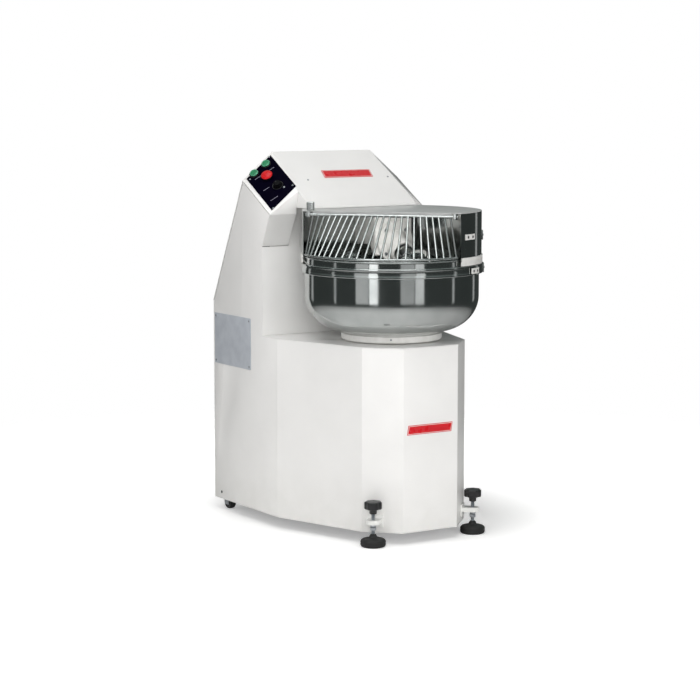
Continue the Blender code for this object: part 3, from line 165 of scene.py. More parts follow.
def rounded(outline, radius, steps=5, closed=True):
    """An outline whose corners are arcs: each starts and ends r tan(turn / 2) from its corner."""
    outline = [np.asarray(point, float) for point in outline]
    made = []
    for index, corner in enumerate(outline):
        if not closed and index in (0, len(outline) - 1):
            made.append(corner)
            continue
        back, ahead = outline[index - 1] - corner, outline[(index + 1) % len(outline)] - corner
        reach_back, reach_ahead = np.linalg.norm(back), np.linalg.norm(ahead)
        back, ahead = back / reach_back, ahead / reach_ahead
        turn = pi - np.arccos(np.clip(back @ ahead, -1, 1))
        if turn < radians(1):
            made.append(corner)
            continue
        cut = min(radius * np.tan(turn / 2), 0.45 * reach_back, 0.45 * reach_ahead)
        own = cut / np.tan(turn / 2)
        middle = (back + ahead) / np.linalg.norm(back + ahead)
        centre = corner + middle * own / np.cos(turn / 2)
        start, end = corner + back * cut - centre, corner + ahead * cut - centre
        share = np.linspace(0, 1, steps + 1)[:, None]
        swept = np.sin((1 - share) * turn) * start + np.sin(share * turn) * end
        made += list(centre + swept / np.sin(turn))
    return np.array(made)


def box_outline(width, height, radius, steps=5):
    """A rectangle about the origin with round corners."""
    x, y = width / 2, height / 2
    return rounded([(-x, -y), (x, -y), (x, y), (-x, y)], radius, steps)


def circle(radius, count=32, lobes=0, depth=0.0):
    """A circle, or a star whose radius is R - d(1 - cos nt) / 2."""
    turn = np.arange(count) * tau / count
    reach = radius - depth * (1 - np.cos(lobes * turn)) / 2
    return np.column_stack([reach * np.cos(turn), reach * np.sin(turn)])


def tube(path, radii, sides=12, reference=(0, 0, 1)):
    """A bar along a path: a circle of the path's radius square to its direction, with closed ends."""
    path = np.asarray(path, float)
    radii = np.broadcast_to(np.asarray(radii, float), len(path))
    ahead = np.gradient(path, axis=0)
    ahead /= np.linalg.norm(ahead, axis=1, keepdims=True)
    side = np.cross(ahead, np.asarray(reference, float))
    side /= np.linalg.norm(side, axis=1, keepdims=True)
    up = np.cross(side, ahead)
    turn = (np.arange(sides) * tau / sides)[None, :, None]
    ring = np.cos(turn) * side[:, None, :] + np.sin(turn) * up[:, None, :]
    points = path[:, None, :] + ring * radii[:, None, None]
    ends = [np.repeat(path[[index]], sides, axis=0)[None] for index in (0, -1)]
    return grid(np.concatenate([ends[0], points, ends[1]]), wrap_columns=True)


def towards(origin, out, up=(0, 0, 1)):
    """The matrix whose +Z is out, with +Y as near to up as it can be."""
    z = Vector(out).normalized()
    x = Vector(up).cross(z).normalized()
    turn = Matrix((x, z.cross(x), z)).transposed().to_4x4()
    return Matrix.Translation(Vector(origin)) @ turn


def mesh_of(name, shape):
    """A mesh from a shape, with its poles merged and its faces pointing out."""
    mesh = bpy.data.meshes.new(name)
    mesh.from_pydata(shape[0].tolist(), [], shape[1])
    work = bmesh.new()
    work.from_mesh(mesh)
    bmesh.ops.remove_doubles(work, verts=work.verts, dist=1e-6)
    bmesh.ops.recalc_face_normals(work, faces=work.faces)
    work.to_mesh(mesh)
    work.free()
    return mesh


def piece(name, shape, finish, nodes=(), body=None, sharp=35):
    """Put a shape in the scene as a piece that rides on a body and stands for CAD nodes."""
    mesh = shape if isinstance(shape, bpy.types.Mesh) else mesh_of(name, shape)
    mesh.materials.clear()
    mesh.materials.append(finish)
    mesh.shade_smooth()
    mesh.set_sharp_from_angle(angle=radians(sharp))
    made = bpy.data.objects.new(name, mesh)
    bpy.context.scene.collection.objects.link(made)
    nodes = (nodes,) if isinstance(nodes, str) else nodes
    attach(made, body or frame["nodes"][nodes[0]]["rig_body"])
    if nodes:
        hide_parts(*nodes)
    return made


def softened(node, name, finish, width, folds=None, segments=3):
    """A copy of a CAD node with its flat faces made whole and its edges rounded.
    With folds, only edges that turn by an angle between the two are rounded, as a press brake does."""
    work = bmesh.new()
    work.from_mesh(frame["nodes"][node].data)
    bmesh.ops.remove_doubles(work, verts=work.verts, dist=1e-5)
    bmesh.ops.dissolve_limit(work, angle_limit=radians(0.8), verts=work.verts, edges=work.edges)
    low, high = (radians(turn) for turn in (folds or (30, 180)))
    chosen = [e for e in work.edges if len(e.link_faces) == 2 and low < e.calc_face_angle(0) < high]
    bmesh.ops.bevel(
        work, geom=chosen, offset=width, offset_type="OFFSET", segments=segments, profile=0.5,
        affect="EDGES", clamp_overlap=True,
    )
    mesh = bpy.data.meshes.new(name)
    work.to_mesh(mesh)
    work.free()
    return piece(name, mesh, finish, node)


# ---- materials ---------------------------------------------------------------------------------
def linear(colour):
    """An sRGB hex colour as linear RGBA."""
    channels = [int(colour[i:i + 2], 16) / 255 for i in (1, 3, 5)]
    return (*[c / 12.92 if c <= 0.04045 else ((c + 0.055) / 1.055) ** 2.4 for c in channels], 1.0)


def add_node(tree, kind, inputs=None, **settings):
    """Add a node: its settings, then each input's value or the output that feeds it."""
    made = tree.nodes.new(kind)
    for name, value in settings.items():
        setattr(made, name, value)
    for key, value in (inputs or {}).items():
        if isinstance(value, bpy.types.NodeSocket):
            tree.links.new(value, made.inputs[key])
        else:
            made.inputs[key].default_value = value
    return made


def surface(
    name, colours, patch_mm, roughness, grain_mm, relief_mm, relief=0.1, stretch=(1, 1, 1), **constants
):
    """A finish whose colour and gloss drift in patches, with a finer grain that stretch draws out."""
    made = bpy.data.materials.new(name)
    made.use_nodes = True
    tree = made.node_tree
    shader = tree.nodes["Principled BSDF"]
    for key, value in constants.items():
        shader.inputs[key.replace("_", " ")].default_value = value
    place = add_node(tree, "ShaderNodeTexCoord").outputs["Object"]
    patches = add_node(
        tree, "ShaderNodeTexNoise", {"Vector": place, "Scale": 1 / (patch_mm * MM), "Detail": 4.0}
    ).outputs["Fac"]
    share = add_node(
        tree, "ShaderNodeMapRange", {"Value": patches, "From Min": 0.3, "From Max": 0.7}
    ).outputs[0]
    tint = add_node(
        tree, "ShaderNodeMix", {0: share, 6: linear(colours[0]), 7: linear(colours[1])}, data_type="RGBA"
    ).outputs[2]
    dull = add_node(
        tree, "ShaderNodeMapRange",
        {"Value": patches, "From Min": 0.3, "From Max": 0.75,
         "To Min": roughness[0], "To Max": roughness[1]},
    ).outputs[0]
    drawn = add_node(tree, "ShaderNodeMapping", {"Vector": place, "Scale": stretch}).outputs[0]
    grain = add_node(
        tree, "ShaderNodeTexNoise", {"Vector": drawn, "Scale": 1 / (grain_mm * MM), "Detail": 2.0}
    ).outputs["Fac"]
    bump = add_node(
        tree, "ShaderNodeBump", {"Height": grain, "Strength": relief, "Distance": relief_mm * MM}
    ).outputs[0]
    for source, socket in ((tint, "Base Color"), (dull, "Roughness"), (bump, "Normal")):
        tree.links.new(source, shader.inputs[socket])
    return made


def darkened_low_down(made, low_colour):
    """Let a coat's colour turn darker in patches towards the floor, below about 0.22 m."""
    tree = made.node_tree
    shader = tree.nodes["Principled BSDF"]
    upper_colour = shader.inputs["Base Color"].links[0].from_socket
    place = add_node(tree, "ShaderNodeTexCoord").outputs["Object"]
    height = add_node(tree, "ShaderNodeSeparateXYZ", {"Vector": place}).outputs["Z"]
    low_down = add_node(
        tree, "ShaderNodeMapRange",
        {"Value": height, "From Min": 0.03, "From Max": 0.22, "To Min": 1.0, "To Max": 0.0},
    ).outputs[0]
    patches = add_node(
        tree, "ShaderNodeTexNoise", {"Vector": place, "Scale": 1 / (60 * MM), "Detail": 3.0}
    ).outputs["Fac"]
    share = add_node(tree, "ShaderNodeMath", {0: low_down, 1: patches}, operation="MULTIPLY").outputs[0]
    mixed = add_node(
        tree, "ShaderNodeMix", {0: share, 6: upper_colour, 7: linear(low_colour)}, data_type="RGBA"
    ).outputs[2]
    tree.links.new(mixed, shader.inputs["Base Color"])
    return made


def brushed(made, across):
    """Spread a metal's highlights along the direction across its brushing."""
    tree = made.node_tree
    tangent = add_node(tree, "ShaderNodeCombineXYZ", dict(zip("XYZ", across))).outputs[0]
    tree.links.new(tangent, tree.nodes["Principled BSDF"].inputs["Tangent"])
    return made


# Powder coat: an even soft gloss with orange peel.
# Both white coats turn to their darker tone in patches towards the floor.
WHITE = darkened_low_down(surface(
    "polyester_powder_coat", ("#F1F0EE", "#EBEAE8"), 200, (0.30, 0.40), 4.0, 0.08,
    IOR=1.5, Coat_Weight=0.25, Coat_Roughness=0.22), "#DEDDD9")
BRACKET_WHITE = darkened_low_down(surface(
    "powder_coat_on_brackets", ("#EFEFEC", "#E6E6E2"), 60, (0.30, 0.42), 3.0, 0.08,
    IOR=1.5, Coat_Weight=0.25, Coat_Roughness=0.22), "#D6D6D2")
# Enamelled grey iron: the sand mould's grain shows through a thick white enamel.
ENAMEL = surface("enamelled_cast_iron", ("#EBEAE6", "#DCDBD6"), 25, (0.28, 0.42), 2.5, 0.25, 0.25,
                 IOR=1.52, Coat_Weight=0.3, Coat_Roughness=0.15)
# Mirror-polished stainless, spun: deep reflections that faint turning lines draw out up and down, and
# smudges from hands.
SPUN = brushed(surface(
    "mirror_polished_stainless", ("#C6C9C8", "#B9BDBC"), 70, (0.10, 0.17), 9.0, 0.03, 0.05,
    (0.1, 0.1, 4.0), Metallic=1.0, Anisotropic=0.8), (0, 0, 1))
# Rolled stainless sheet: the same polish, a little greyer and more worn by hands.
ROLLED = brushed(surface(
    "polished_stainless_sheet", ("#BFC2C1", "#B1B4B3"), 90, (0.08, 0.15), 9.0, 0.03, 0.05,
    (0.2, 0.2, 4.0), Metallic=1.0, Anisotropic=0.6), (0, 0, 1))
# Electropolished wire and bar: bright and slightly soft, with drawing marks.
BAR = surface("electropolished_stainless", ("#C2C5C4", "#AEB1B0"), 18, (0.16, 0.28), 3.0, 0.05, 0.08,
              Metallic=1.0)
# Bright zinc with clear passivation: grey-blue, cloudy, with a slightly grainy shine.
ZINC = surface("zinc_plated_steel", ("#C3C6CA", "#A6ABB2"), 8, (0.26, 0.42), 1.2, 0.05, Metallic=1.0)
# The same plating on small heads, a little duller from the driver.
SCREW = surface("zinc_plated_screws", ("#B4B7BB", "#989CA2"), 5, (0.26, 0.42), 1.2, 0.05, Metallic=1.0)
# Anodised aluminium sheet: a dull metallic grey brushed lengthways.
GREY = surface("anodised_aluminium", ("#CDD2D9", "#C0C5CD"), 40, (0.36, 0.48), 12.0, 0.04, 0.08,
               (1, 0.12, 6), Metallic=0.25)
# Satin stainless of the guard's cover: pale and matt, brushed from front to rear.
COVER_STEEL = surface("satin_stainless_cover", ("#D6D6D5", "#CBCBCA"), 45, (0.34, 0.44), 10.0, 0.04, 0.08,
                      (6, 0.15, 1), Metallic=0.45)
# Moulded plastics and rubbers: a spark-eroded mould's fine grain, and a little colour drift from wear.
NYLON = surface("cast_nylon", ("#E9E8E5", "#DDDCD8"), 22, (0.42, 0.55), 1.6, 0.06, 0.12, IOR=1.53)
BLACK = surface("glass_filled_polyamide", ("#101011", "#1B1B1C"), 22, (0.30, 0.45), 1.6, 0.06, 0.12,
                IOR=1.53)
RUBBER = surface("nitrile_rubber", ("#131313", "#1E1E1D"), 22, (0.55, 0.75), 2.2, 0.06, 0.2)
# Printed film of the control plate: a blue-black that hardly shines.
FILM = surface("polyester_keypad_film", ("#040210", "#060414"), 22, (0.30, 0.40), 1.2, 0.03, 0.05,
               IOR=1.3, Specular_IOR_Level=0.02)
# Phenolic of the dial, coloured polycarbonate and polyamide of the buttons: smooth, with a small highlight.
JET = surface("polished_phenolic", ("#060608", "#0A0A0C"), 22, (0.35, 0.45), 1.6, 0.04, IOR=1.35,
              Specular_IOR_Level=0.15)
GREEN = surface("green_polycarbonate", ("#15764A", "#1F8354"), 22, (0.18, 0.28), 1.6, 0.06,
                IOR=1.58, Coat_Weight=0.3)
GREEN_RIM = surface("pale_green_polycarbonate", ("#5DB08A", "#4FA37D"), 22, (0.18, 0.28), 1.6, 0.06,
                    IOR=1.58)
RED = surface("red_polyamide", ("#D81A20", "#C2121A"), 22, (0.26, 0.38), 1.6, 0.06,
              IOR=1.53, Specular_IOR_Level=0.3)
# Screen-printed enamel of the badges and of the printed lines: flat, opaque, with a slight fade.
BADGE_RED = surface("screen_printed_red", ("#D3222B", "#C81B25"), 22, (0.25, 0.35), 1.5, 0.03, 0.04,
                    IOR=1.5)
BADGE_WHITE = surface("screen_printed_white", ("#F3F1EE", "#EAE8E4"), 22, (0.3, 0.4), 1.5, 0.03, 0.04,
                      IOR=1.5)
LABEL = surface("screen_printed_grey", ("#8C8A99", "#757384"), 8, (0.4, 0.5), 1.5, 0.03, 0.04, IOR=1.5)
# Hidden machinery: stoved motor paint, die-cast and turned metal, primed frame steel, ribbed belt jackets.
MOTOR = surface("motor_paint", ("#2A3A4C", "#1F2A38"), 60, (0.35, 0.45), 2.5, 0.08, IOR=1.5)
CAST_ALUMINIUM = surface("die_cast_aluminium", ("#A7A9AB", "#8E9092"), 8, (0.3, 0.45), 1.2, 0.05,
                         Metallic=1.0)
TURNED = surface("turned_steel", ("#9EA1A5", "#85888C"), 8, (0.26, 0.42), 1.2, 0.05, Metallic=1.0)
PRIMER = surface("primed_rolled_steel", ("#6E7175", "#5F5A57"), 14, (0.5, 0.7), 6.0, 0.15, 0.2, IOR=1.5)
BELT = surface("neoprene_belt", ("#161617", "#232325"), 12, (0.7, 0.8), 3.0, 0.2, 0.3, (1, 6, 1))
# Soft dark rubber of the plug, also used where a recess holds only shadow.
DARK = surface("shadow_rubber_plug", ("#2A2B2D", "#343537"), 22, (0.5, 0.6), 1.6, 0.06, 0.12)


# ---- fasteners ---------------------------------------------------------------------------------
def pan_head(place, radius=4.0 * MM, height=2.4 * MM):
    """A pan-head screw: a head h(1 + 3 sin t) / 4 high at r cos t, and the dark cross on its crown, painted
    shade of the driver's recess.
    """
    turn = np.linspace(0, pi / 2, 6)
    dome = np.column_stack([radius * np.cos(turn), height * (0.25 + 0.75 * np.sin(turn))])
    head = turned(np.concatenate([[(0.0, 0.0), (radius, 0.0)], dome[:-1], [(0.0, height)]]), 24, place)
    arms = []
    # The cross is a thin dark film raised on the crown: painted shade where the recess would be.
    for quarter in (0, pi / 2):
        bar = box_outline(radius * 1.15, radius * 0.26, radius * 0.1, 2)
        arm = plate(bar, height * 0.90, height * 1.02, 0.05 * MM, 1)
        arms.append(placed(arm, place @ Matrix.Rotation(quarter + pi / 4, 4, "Z")))
    return head, together(*arms)


def screws(name, places, body, radius=4.0 * MM, height=2.4 * MM, finish=None):
    """A set of equal screws as one piece, and the painted shade of their recesses as another."""
    made = [pan_head(place, radius, height) for place in places]
    piece(name, together(*[head for head, _ in made]), finish or SCREW, body=body)
    piece(name + "_recesses", together(*[recess for _, recess in made]), DARK, body=body)


def hex_bolt(place, across, height, washer):
    """A hexagon head with its chamfered top, on a plain washer."""
    turn = np.arange(6) * tau / 6
    corner = across / 3 ** 0.5
    hexagon = np.column_stack([corner * np.cos(turn), corner * np.sin(turn)])
    head = plate(rounded(hexagon, 0.5 * MM, 2), washer[1], washer[1] + height, 0.7 * MM, 2)
    ring = plate(circle(washer[0], 32), 0.0, washer[1], 0.2 * MM, 1)
    return placed(together(head, ring), place)


# ---- body sheet --------------------------------------------------------------------------------
def make_apron():
    """The folded apron: a sheet between an outer and an inner outline, whose corners are bends."""
    low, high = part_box("apron")
    half, depth = high.x, high.y
    right = [(half, depth), *APRON_BENDS]
    plan = right + [(-x, y) for x, y in right[::-1]]
    outer = rounded(plan, BEND, 6, closed=False)
    inside = [(x * (1 - SHEET / half), y + (SHEET if y < depth else 0)) for x, y in plan]
    inner = rounded(inside, BEND - SHEET, 6, closed=False)
    outline = np.concatenate([outer, inner[::-1]])[::-1]
    piece("apron_sheet", plate(outline, low.z, high.z, 0.4 * MM, 2), WHITE, "apron")


def make_body():
    """The flat panels and the folded hood, with rounded rims and bends."""
    for node in ("side_panel_left", "side_panel_right", "pedestal_top", "tower_front_panel"):
        softened(node, node + "_sheet", WHITE, 0.5 * MM, segments=2)
    softened("head_hood", "head_hood_sheet", WHITE, 3.0 * MM, (8, 82), 4)
    softened("rear_hood", "rear_hood_sheet", WHITE, 0.5 * MM, segments=2)
    softened("rear_panel", "rear_panel_sheet", WHITE, 0.3 * MM, segments=2)


def make_louvres():
    """Pressed hoods on the rear panel: each section is a quarter ellipse, out a sin t and up b cos t."""
    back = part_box("rear_panel")[1].y
    rows, lowest, pitch = 6, 0.180, 0.026
    reach, rise = 3.0 * MM, 9.0 * MM
    x = np.array([-0.112, -0.108, 0.108, 0.112])
    tuck = np.array([0.05, 1.0, 1.0, 0.05])
    turn = np.linspace(0, pi / 2, 7)
    hoods = []
    for row in range(rows):
        points = np.stack([
            np.repeat(x[:, None], len(turn), axis=1),
            back + reach * np.sin(turn)[None, :] * tuck[:, None],
            lowest + pitch * row + np.repeat(rise * np.cos(turn)[None, :], len(x), axis=0),
        ], axis=2)
        inner = points.copy()
        inner[:, :, 1] -= 0.9 * MM
        hoods.append(grid(np.concatenate([points, inner[::-1]]), wrap_rows=True))
    piece("rear_louvres", together(*hoods), WHITE, body="machine")


def make_body_screws():
    """Screws of the rear panel and the head panel, and the plugged hole low on the left side."""
    low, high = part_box("rear_panel")
    back = []
    for x in (low.x + 0.018, (low.x + high.x) / 2, high.x - 0.018):
        for z in (low.z + 0.020, (low.z + high.z) / 2, high.z - 0.020):
            if abs(x) > 0.1 or abs(z - (low.z + high.z) / 2) > 0.1:
                back.append(towards((x, high.y, z), (0, 1, 0)))
    screws("rear_panel_screws", back, "machine")
    along = (HEAD_RIDGE - HEAD_FOOT).normalized()
    out = Vector((1, 0, 0)).cross(along)
    places = []
    for x, y in ((-0.141, 0.121), (0.183, 0.126)):
        spot = HEAD_FOOT + along * ((y - HEAD_FOOT.y) / along.y) + Vector((x, 0, 0))
        places.append(towards(spot, out))
    screws("head_panel_screws", places, "machine", 3.5 * MM, 2.0 * MM)
    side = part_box("side_panel_left")[0]
    place = towards((side.x, 0.425, 0.062), (-1, 0, 0))
    plug = turned(mm((0, 1.4), (4, 1.2), (5, 0.4), (5, 0), (0, 0)), 24, place)
    piece("side_plug", plug, DARK, body="machine")


# ---- bowl --------------------------------------------------------------------------------------
def make_bowl():
    """The spun bowl: wall, elliptical corner (r = a + b cos t, z = c - d sin t), flat floor, rolled lip."""
    low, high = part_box("bowl")
    wall, lip, bead = BOWL_WALL, (high.x - low.x) / 2, 2.0 * MM
    radius, curve_z = lip - 3.5 * MM, low.z + BOWL_CURVE
    turn = np.linspace(0, pi / 2, 25)
    outer, inner = (np.column_stack([
        BOWL_FLOOR_R + (radius - within - BOWL_FLOOR_R) * np.cos(turn),
        curve_z - (BOWL_CURVE - within) * np.sin(turn),
    ]) for within in (0.0, wall))
    roll = np.linspace(pi, -pi / 2, 12)
    lip_points = np.column_stack([lip - bead + bead * np.cos(roll), high.z - bead + bead * np.sin(roll)])
    below = high.z - 2 * bead
    profile = np.concatenate([
        [(0.0, low.z + wall)], inner[::-1],
        [(radius - wall, z) for z in (curve_z + 4 * MM, high.z - 4 * MM, high.z - bead)],
        lip_points[2:],
        [(radius + 0.4 * MM, below - 0.5 * MM)],
        [(radius, z) for z in (below - 2 * MM, below - 5 * MM, curve_z + 4 * MM)],
        outer, [(0.0, low.z)],
    ])
    place = Matrix.Translation(BOWL_CENTRE)
    piece("bowl_shell", turned(profile, 192, place), SPUN, "bowl", sharp=50)
    low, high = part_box("bowl_band")
    band, inside = (high.x - low.x) / 2, radius + 0.3 * MM
    edge = 2.2 * MM
    arc = np.linspace(0, pi / 2, 6)
    top = np.column_stack([band - edge + edge * np.sin(arc), high.z - edge + edge * np.cos(arc)])
    bottom = np.column_stack([band - edge + edge * np.cos(arc), low.z + edge - edge * np.sin(arc)])
    groove = [(band, high.z - 6 * MM), (band - 0.5 * MM, high.z - 7 * MM),
              (band - 0.5 * MM, low.z + 7 * MM), (band, low.z + 6 * MM)]
    profile = np.concatenate([top, groove, bottom, [(inside, low.z), (inside, high.z)]])
    piece("bowl_rubbing_band", turned(profile, 192, place), SPUN, "bowl_band", sharp=50)


def make_collar():
    """The nylon ring under the bowl, with its four grub screws."""
    low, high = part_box("bowl_collar")
    radius = (high.x - low.x) / 2
    edge, arc = 4.0 * MM, np.linspace(0, pi / 2, 6)
    top = np.column_stack([radius - 10 * MM + edge * np.sin(arc), high.z - edge + edge * np.cos(arc)])
    shoulder = [(radius, high.z - 7 * MM), (radius, low.z + 6 * MM), (radius - 1 * MM, low.z + 3 * MM),
                (radius - 6 * MM, low.z)]
    profile = np.concatenate([top, shoulder, [(26 * MM, low.z), (26 * MM, high.z)]])
    piece("bowl_collar_ring", turned(profile, 128, Matrix.Translation(BOWL_CENTRE)), NYLON, "bowl_collar")
    middle = (low.z + high.z) / 2 - 1 * MM
    places = []
    for quarter in range(4):
        turn = radians(236) + quarter * pi / 2
        out = Vector((cos(turn), sin(turn), 0))
        places.append(towards(BOWL_CENTRE + out * (radius - 0.2 * MM) + Vector((0, 0, middle)), out))
    screws("collar_screws", places, "bowl", 3.2 * MM, 1.8 * MM)


# ---- guard -------------------------------------------------------------------------------------
def guard_arc(radius, start, end, count, z):
    """Points on a circle about the bowl's axis at a height."""
    turn = np.linspace(start, end, count)
    x, y = AXIS.x + radius * np.cos(turn), AXIS.y + radius * np.sin(turn)
    return np.column_stack([x, y, np.full(count, z)])


def walled(radius, thickness, turns, heights, notch=None):
    """An upright curved sheet: inner and outer skins at r and r - t on a grid of turns and heights,
    with the cells of the notch left out, and its rims closed."""
    turns, heights = np.asarray(turns), np.asarray(heights)
    columns = len(heights)
    skins = []
    for reach in (radius, radius - thickness):
        x = AXIS.x + reach * np.cos(turns)[:, None] * np.ones(columns)
        y = AXIS.y + reach * np.sin(turns)[:, None] * np.ones(columns)
        skins.append(np.stack([x, y, np.ones((len(turns), 1)) * heights], axis=2).reshape(-1, 3))
    kept = np.ones((len(turns) - 1, columns - 1), bool)
    if notch:
        middle = (turns[1:] + turns[:-1]) / 2
        above = (heights[1:] + heights[:-1]) / 2
        kept &= ~((middle > notch[0])[:, None] & (middle < notch[1])[:, None] & (above > notch[2])[None, :])
    row, column = np.nonzero(kept)
    at = row * columns + column
    quads = np.stack([at, at + columns, at + columns + 1, at + 1], axis=1)
    size = len(turns) * columns
    edges = np.concatenate([quads[:, [0, 1]], quads[:, [1, 2]], quads[:, [2, 3]], quads[:, [3, 0]]])
    keys = {(int(a), int(b)) for a, b in edges}
    rims = [(a, b) for a, b in keys if (b, a) not in keys]
    faces = quads.tolist() + (quads[:, ::-1] + size).tolist()
    return np.concatenate(skins), faces + [(b, a, a + size, b + size) for a, b in rims]


def make_guard_sheet():
    """The curved guard sheet, cut away at the rear where the nose passes through it."""
    low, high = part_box("guard_sheet")
    turns = np.concatenate([
        np.linspace(GUARD_ARC[0], NOTCH_ARC[0], 100), np.linspace(*NOTCH_ARC, 30)[1:],
        np.linspace(NOTCH_ARC[1], GUARD_ARC[1], 70)[1:]])
    notch_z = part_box("head_nose")[1].z - NOTCH_DROP
    heights = np.concatenate([[low.z, low.z + 10 * MM], np.linspace(notch_z, high.z, 12)])
    sheet = walled(GUARD_R, 1.5 * MM, turns, heights, (*NOTCH_ARC, notch_z))
    piece("guard_sheet_curved", sheet, ROLLED, "guard_sheet", sharp=50)


def make_guard_skirt():
    """The nylon strip round the guard's foot. At its right end its height is drawn down to a third."""
    low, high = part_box("guard_skirt")
    points, faces = walled(SKIRT_R, 3.0 * MM, np.linspace(*GUARD_ARC, 160), np.linspace(low.z, high.z, 8))
    from_start = np.arctan2(points[:, 1] - AXIS.y, points[:, 0] - AXIS.x) - GUARD_ARC[0]
    taper, third = 0.03, 0.35
    lowered = low.z + (points[:, 2] - low.z) * np.clip(third + from_start / taper, 0, 1)
    points[:, 2] = np.where(from_start < taper, lowered, points[:, 2])
    piece("guard_skirt_strip", (points, faces), NYLON, "guard_skirt", sharp=50)


def make_guard_cover():
    """The flat cover over the rear of the bowl, and the lip folded down along its front edge."""
    low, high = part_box("guard_cover")
    outline = guard_arc(GUARD_R, *GUARD_ARC, 160, 0)[:, :2]
    piece("guard_cover_plate", plate(outline, low.z, high.z, 0.7 * MM, 3), COVER_STEEL, "guard_cover")
    right, left, along = flap_points()
    out = Vector((-along.y, along.x, 0.0))
    middle = (right + left) / 2 - out * 5.5 * MM
    turn = Matrix((along, out, (0, 0, 1))).transposed().to_4x4()
    place = Matrix.Translation((middle.x, middle.y, 0.0)) @ turn
    half, thick = (left - right).length / 2 - 32 * MM, 0.75 * MM
    outline = [(-half, -thick), (half, -thick), (half, thick), (-half, thick)]
    lip = plate(outline, high.z - 7.8 * MM, low.z - 0.2 * MM, 0.4 * MM, 2, place)
    piece("guard_cover_lip", lip, COVER_STEEL, body="machine")


def flap_points():
    """The hinge bar's right and left ends and the direction along it, from right to left."""
    joint = JOINTS["guard_flap_hinge"]
    right, along = Vector(joint["pos_m"]), Vector(joint["axis"])
    length = 2 * (BOWL_CENTRE - right).to_2d().dot(along.to_2d())
    return right, right + along * length, along


def make_flap():
    """The wire flap: ring, hinge bar and straight rods. A weld flares both ends of each rod: its radius
    is r + w(exp(-s / k) + exp(-(l - s) / k)) at s along a length l."""
    right, left, along = flap_points()
    margin = radians(2.2)
    start, end = GUARD_ARC[0] - margin, GUARD_ARC[1] - tau + margin
    ring_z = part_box("guard_flap")[0].z + 4.0 * MM
    ring = tube(guard_arc(FLAP_RING_R, start, end, 120, ring_z), 4.0 * MM, 16)
    bar_ends = [np.array(right + along * 0.010), np.array(left - along * 0.010)]
    bar = tube(np.linspace(*bar_ends, 12), 5.0 * MM, 20)
    rods, count, length, fade = [], 24, 0.13, 2.5 * MM
    share = np.linspace(0, 1, 16)
    weld = np.exp(-share * length / fade) + np.exp(-(1 - share) * length / fade)
    flare = 3.5 * MM + 1.8 * MM * weld
    share = (1 - np.cos(share * pi)) / 2
    for index in range(count):
        part = index / (count - 1)
        turn = start + (end - start) * (0.006 + 0.988 * part)
        foot = BOWL_CENTRE + Vector((FLAP_RING_R * cos(turn), FLAP_RING_R * sin(turn), ring_z - 0.5 * MM))
        head = right.lerp(left, 0.066 + 0.868 * part) + Vector((0, 0, 1.0 * MM))
        path = np.array(foot)[None, :] * (1 - share)[:, None] + np.array(head)[None, :] * share[:, None]
        rods.append(tube(path, flare, 12, (0.3, 0.9, 0.1)))
    piece("guard_flap_wires", together(ring, bar, *rods), BAR, "guard_flap")


def make_guard_fittings():
    """Hinge blocks, interlock switch and the two stays, with rounded edges and their screws."""
    for node in ("guard_hinge_left", "guard_hinge_right"):
        softened(node, node + "_block", BAR, 0.8 * MM)
    softened("interlock_switch", "interlock_switch_case", BAR, 2.5 * MM)
    for word, outer in STAY_R.items():
        node = f"guard_stay_{word}"
        softened(node, node + "_bar", BAR, 0.6 * MM, (60, 180), 2)
        low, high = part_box(node)
        middle = (low.z + high.z) / 2
        places = []
        for turn in (radians(-32), radians(-25), radians(30)):
            out = Vector((cos(turn), sin(turn), 0))
            places.append(towards(BOWL_CENTRE + out * outer + Vector((0, 0, middle)), out))
        screws(node + "_screws", places, "machine", 4.5 * MM, 2.4 * MM)


def make_joint_plates():
    """The pale plates that join the guard's right end to its stays, their screws, and the lower strap."""
    for word, inner, turns, middle in (
        ("upper", GUARD_R + 0.3 * MM, (radians(-70.5), radians(-59.0)), 0.992),
        ("lower", SKIRT_R + 1.5 * MM, (radians(-64.5), radians(-53.5)), 0.881),
    ):
        heights = np.linspace(middle - 9 * MM, middle + 9 * MM, 4)
        sheet = walled(inner + 1.6 * MM, 1.6 * MM, np.linspace(*turns, 14), heights)
        piece(f"guard_joint_plate_{word}", sheet, NYLON, body="machine", sharp=50)
        places = []
        for share in (0.25, 0.75):
            turn = turns[0] + (turns[1] - turns[0]) * share
            out = Vector((cos(turn), sin(turn), 0))
            places.append(towards(BOWL_CENTRE + out * (inner + 1.5 * MM) + Vector((0, 0, middle)), out))
        screws(f"guard_joint_screws_{word}", places, "machine", 4.5 * MM, 1.8 * MM, finish=DARK)
    turns, heights = np.linspace(radians(-64.5), radians(-35.5), 24), np.linspace(0.868, 0.894, 4)
    strap = walled(STAY_R["upper"], 1.2 * MM, turns, heights)
    piece("guard_stay_lower_strap", strap, ROLLED, body="machine", sharp=50)


# ---- nose and fork -----------------------------------------------------------------------------
def fork_place():
    """+Z down the fork's axis, from where it leaves the nose casting's face."""
    axis = Vector(JOINTS["fork_turn"]["axis"])
    turn = axis.to_track_quat("Z", "X").to_matrix().to_4x4()
    return Matrix.Translation(Vector(JOINTS["fork_turn"]["pos_m"])) @ turn


def make_nose():
    """The cast nose: its side outline with generous fillets, drawn across to a pattern maker's radius."""
    low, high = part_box("head_nose")
    belly = low.y + 16 * MM
    arm = low.z + 36 * MM
    outline = rounded([(low.y, low.z), (belly, low.z), (belly + 24 * MM, arm), (high.y, arm),
                       (high.y, high.z), (low.y, high.z)], 7.5 * MM, 6)
    upright = Matrix(((0, 0, 1, 0), (1, 0, 0, 0), (0, 1, 0, 0), (0, 0, 0, 1)))
    piece("head_nose_casting", plate(outline, low.x, high.x, 7.0 * MM, 5, upright), ENAMEL, "head_nose")


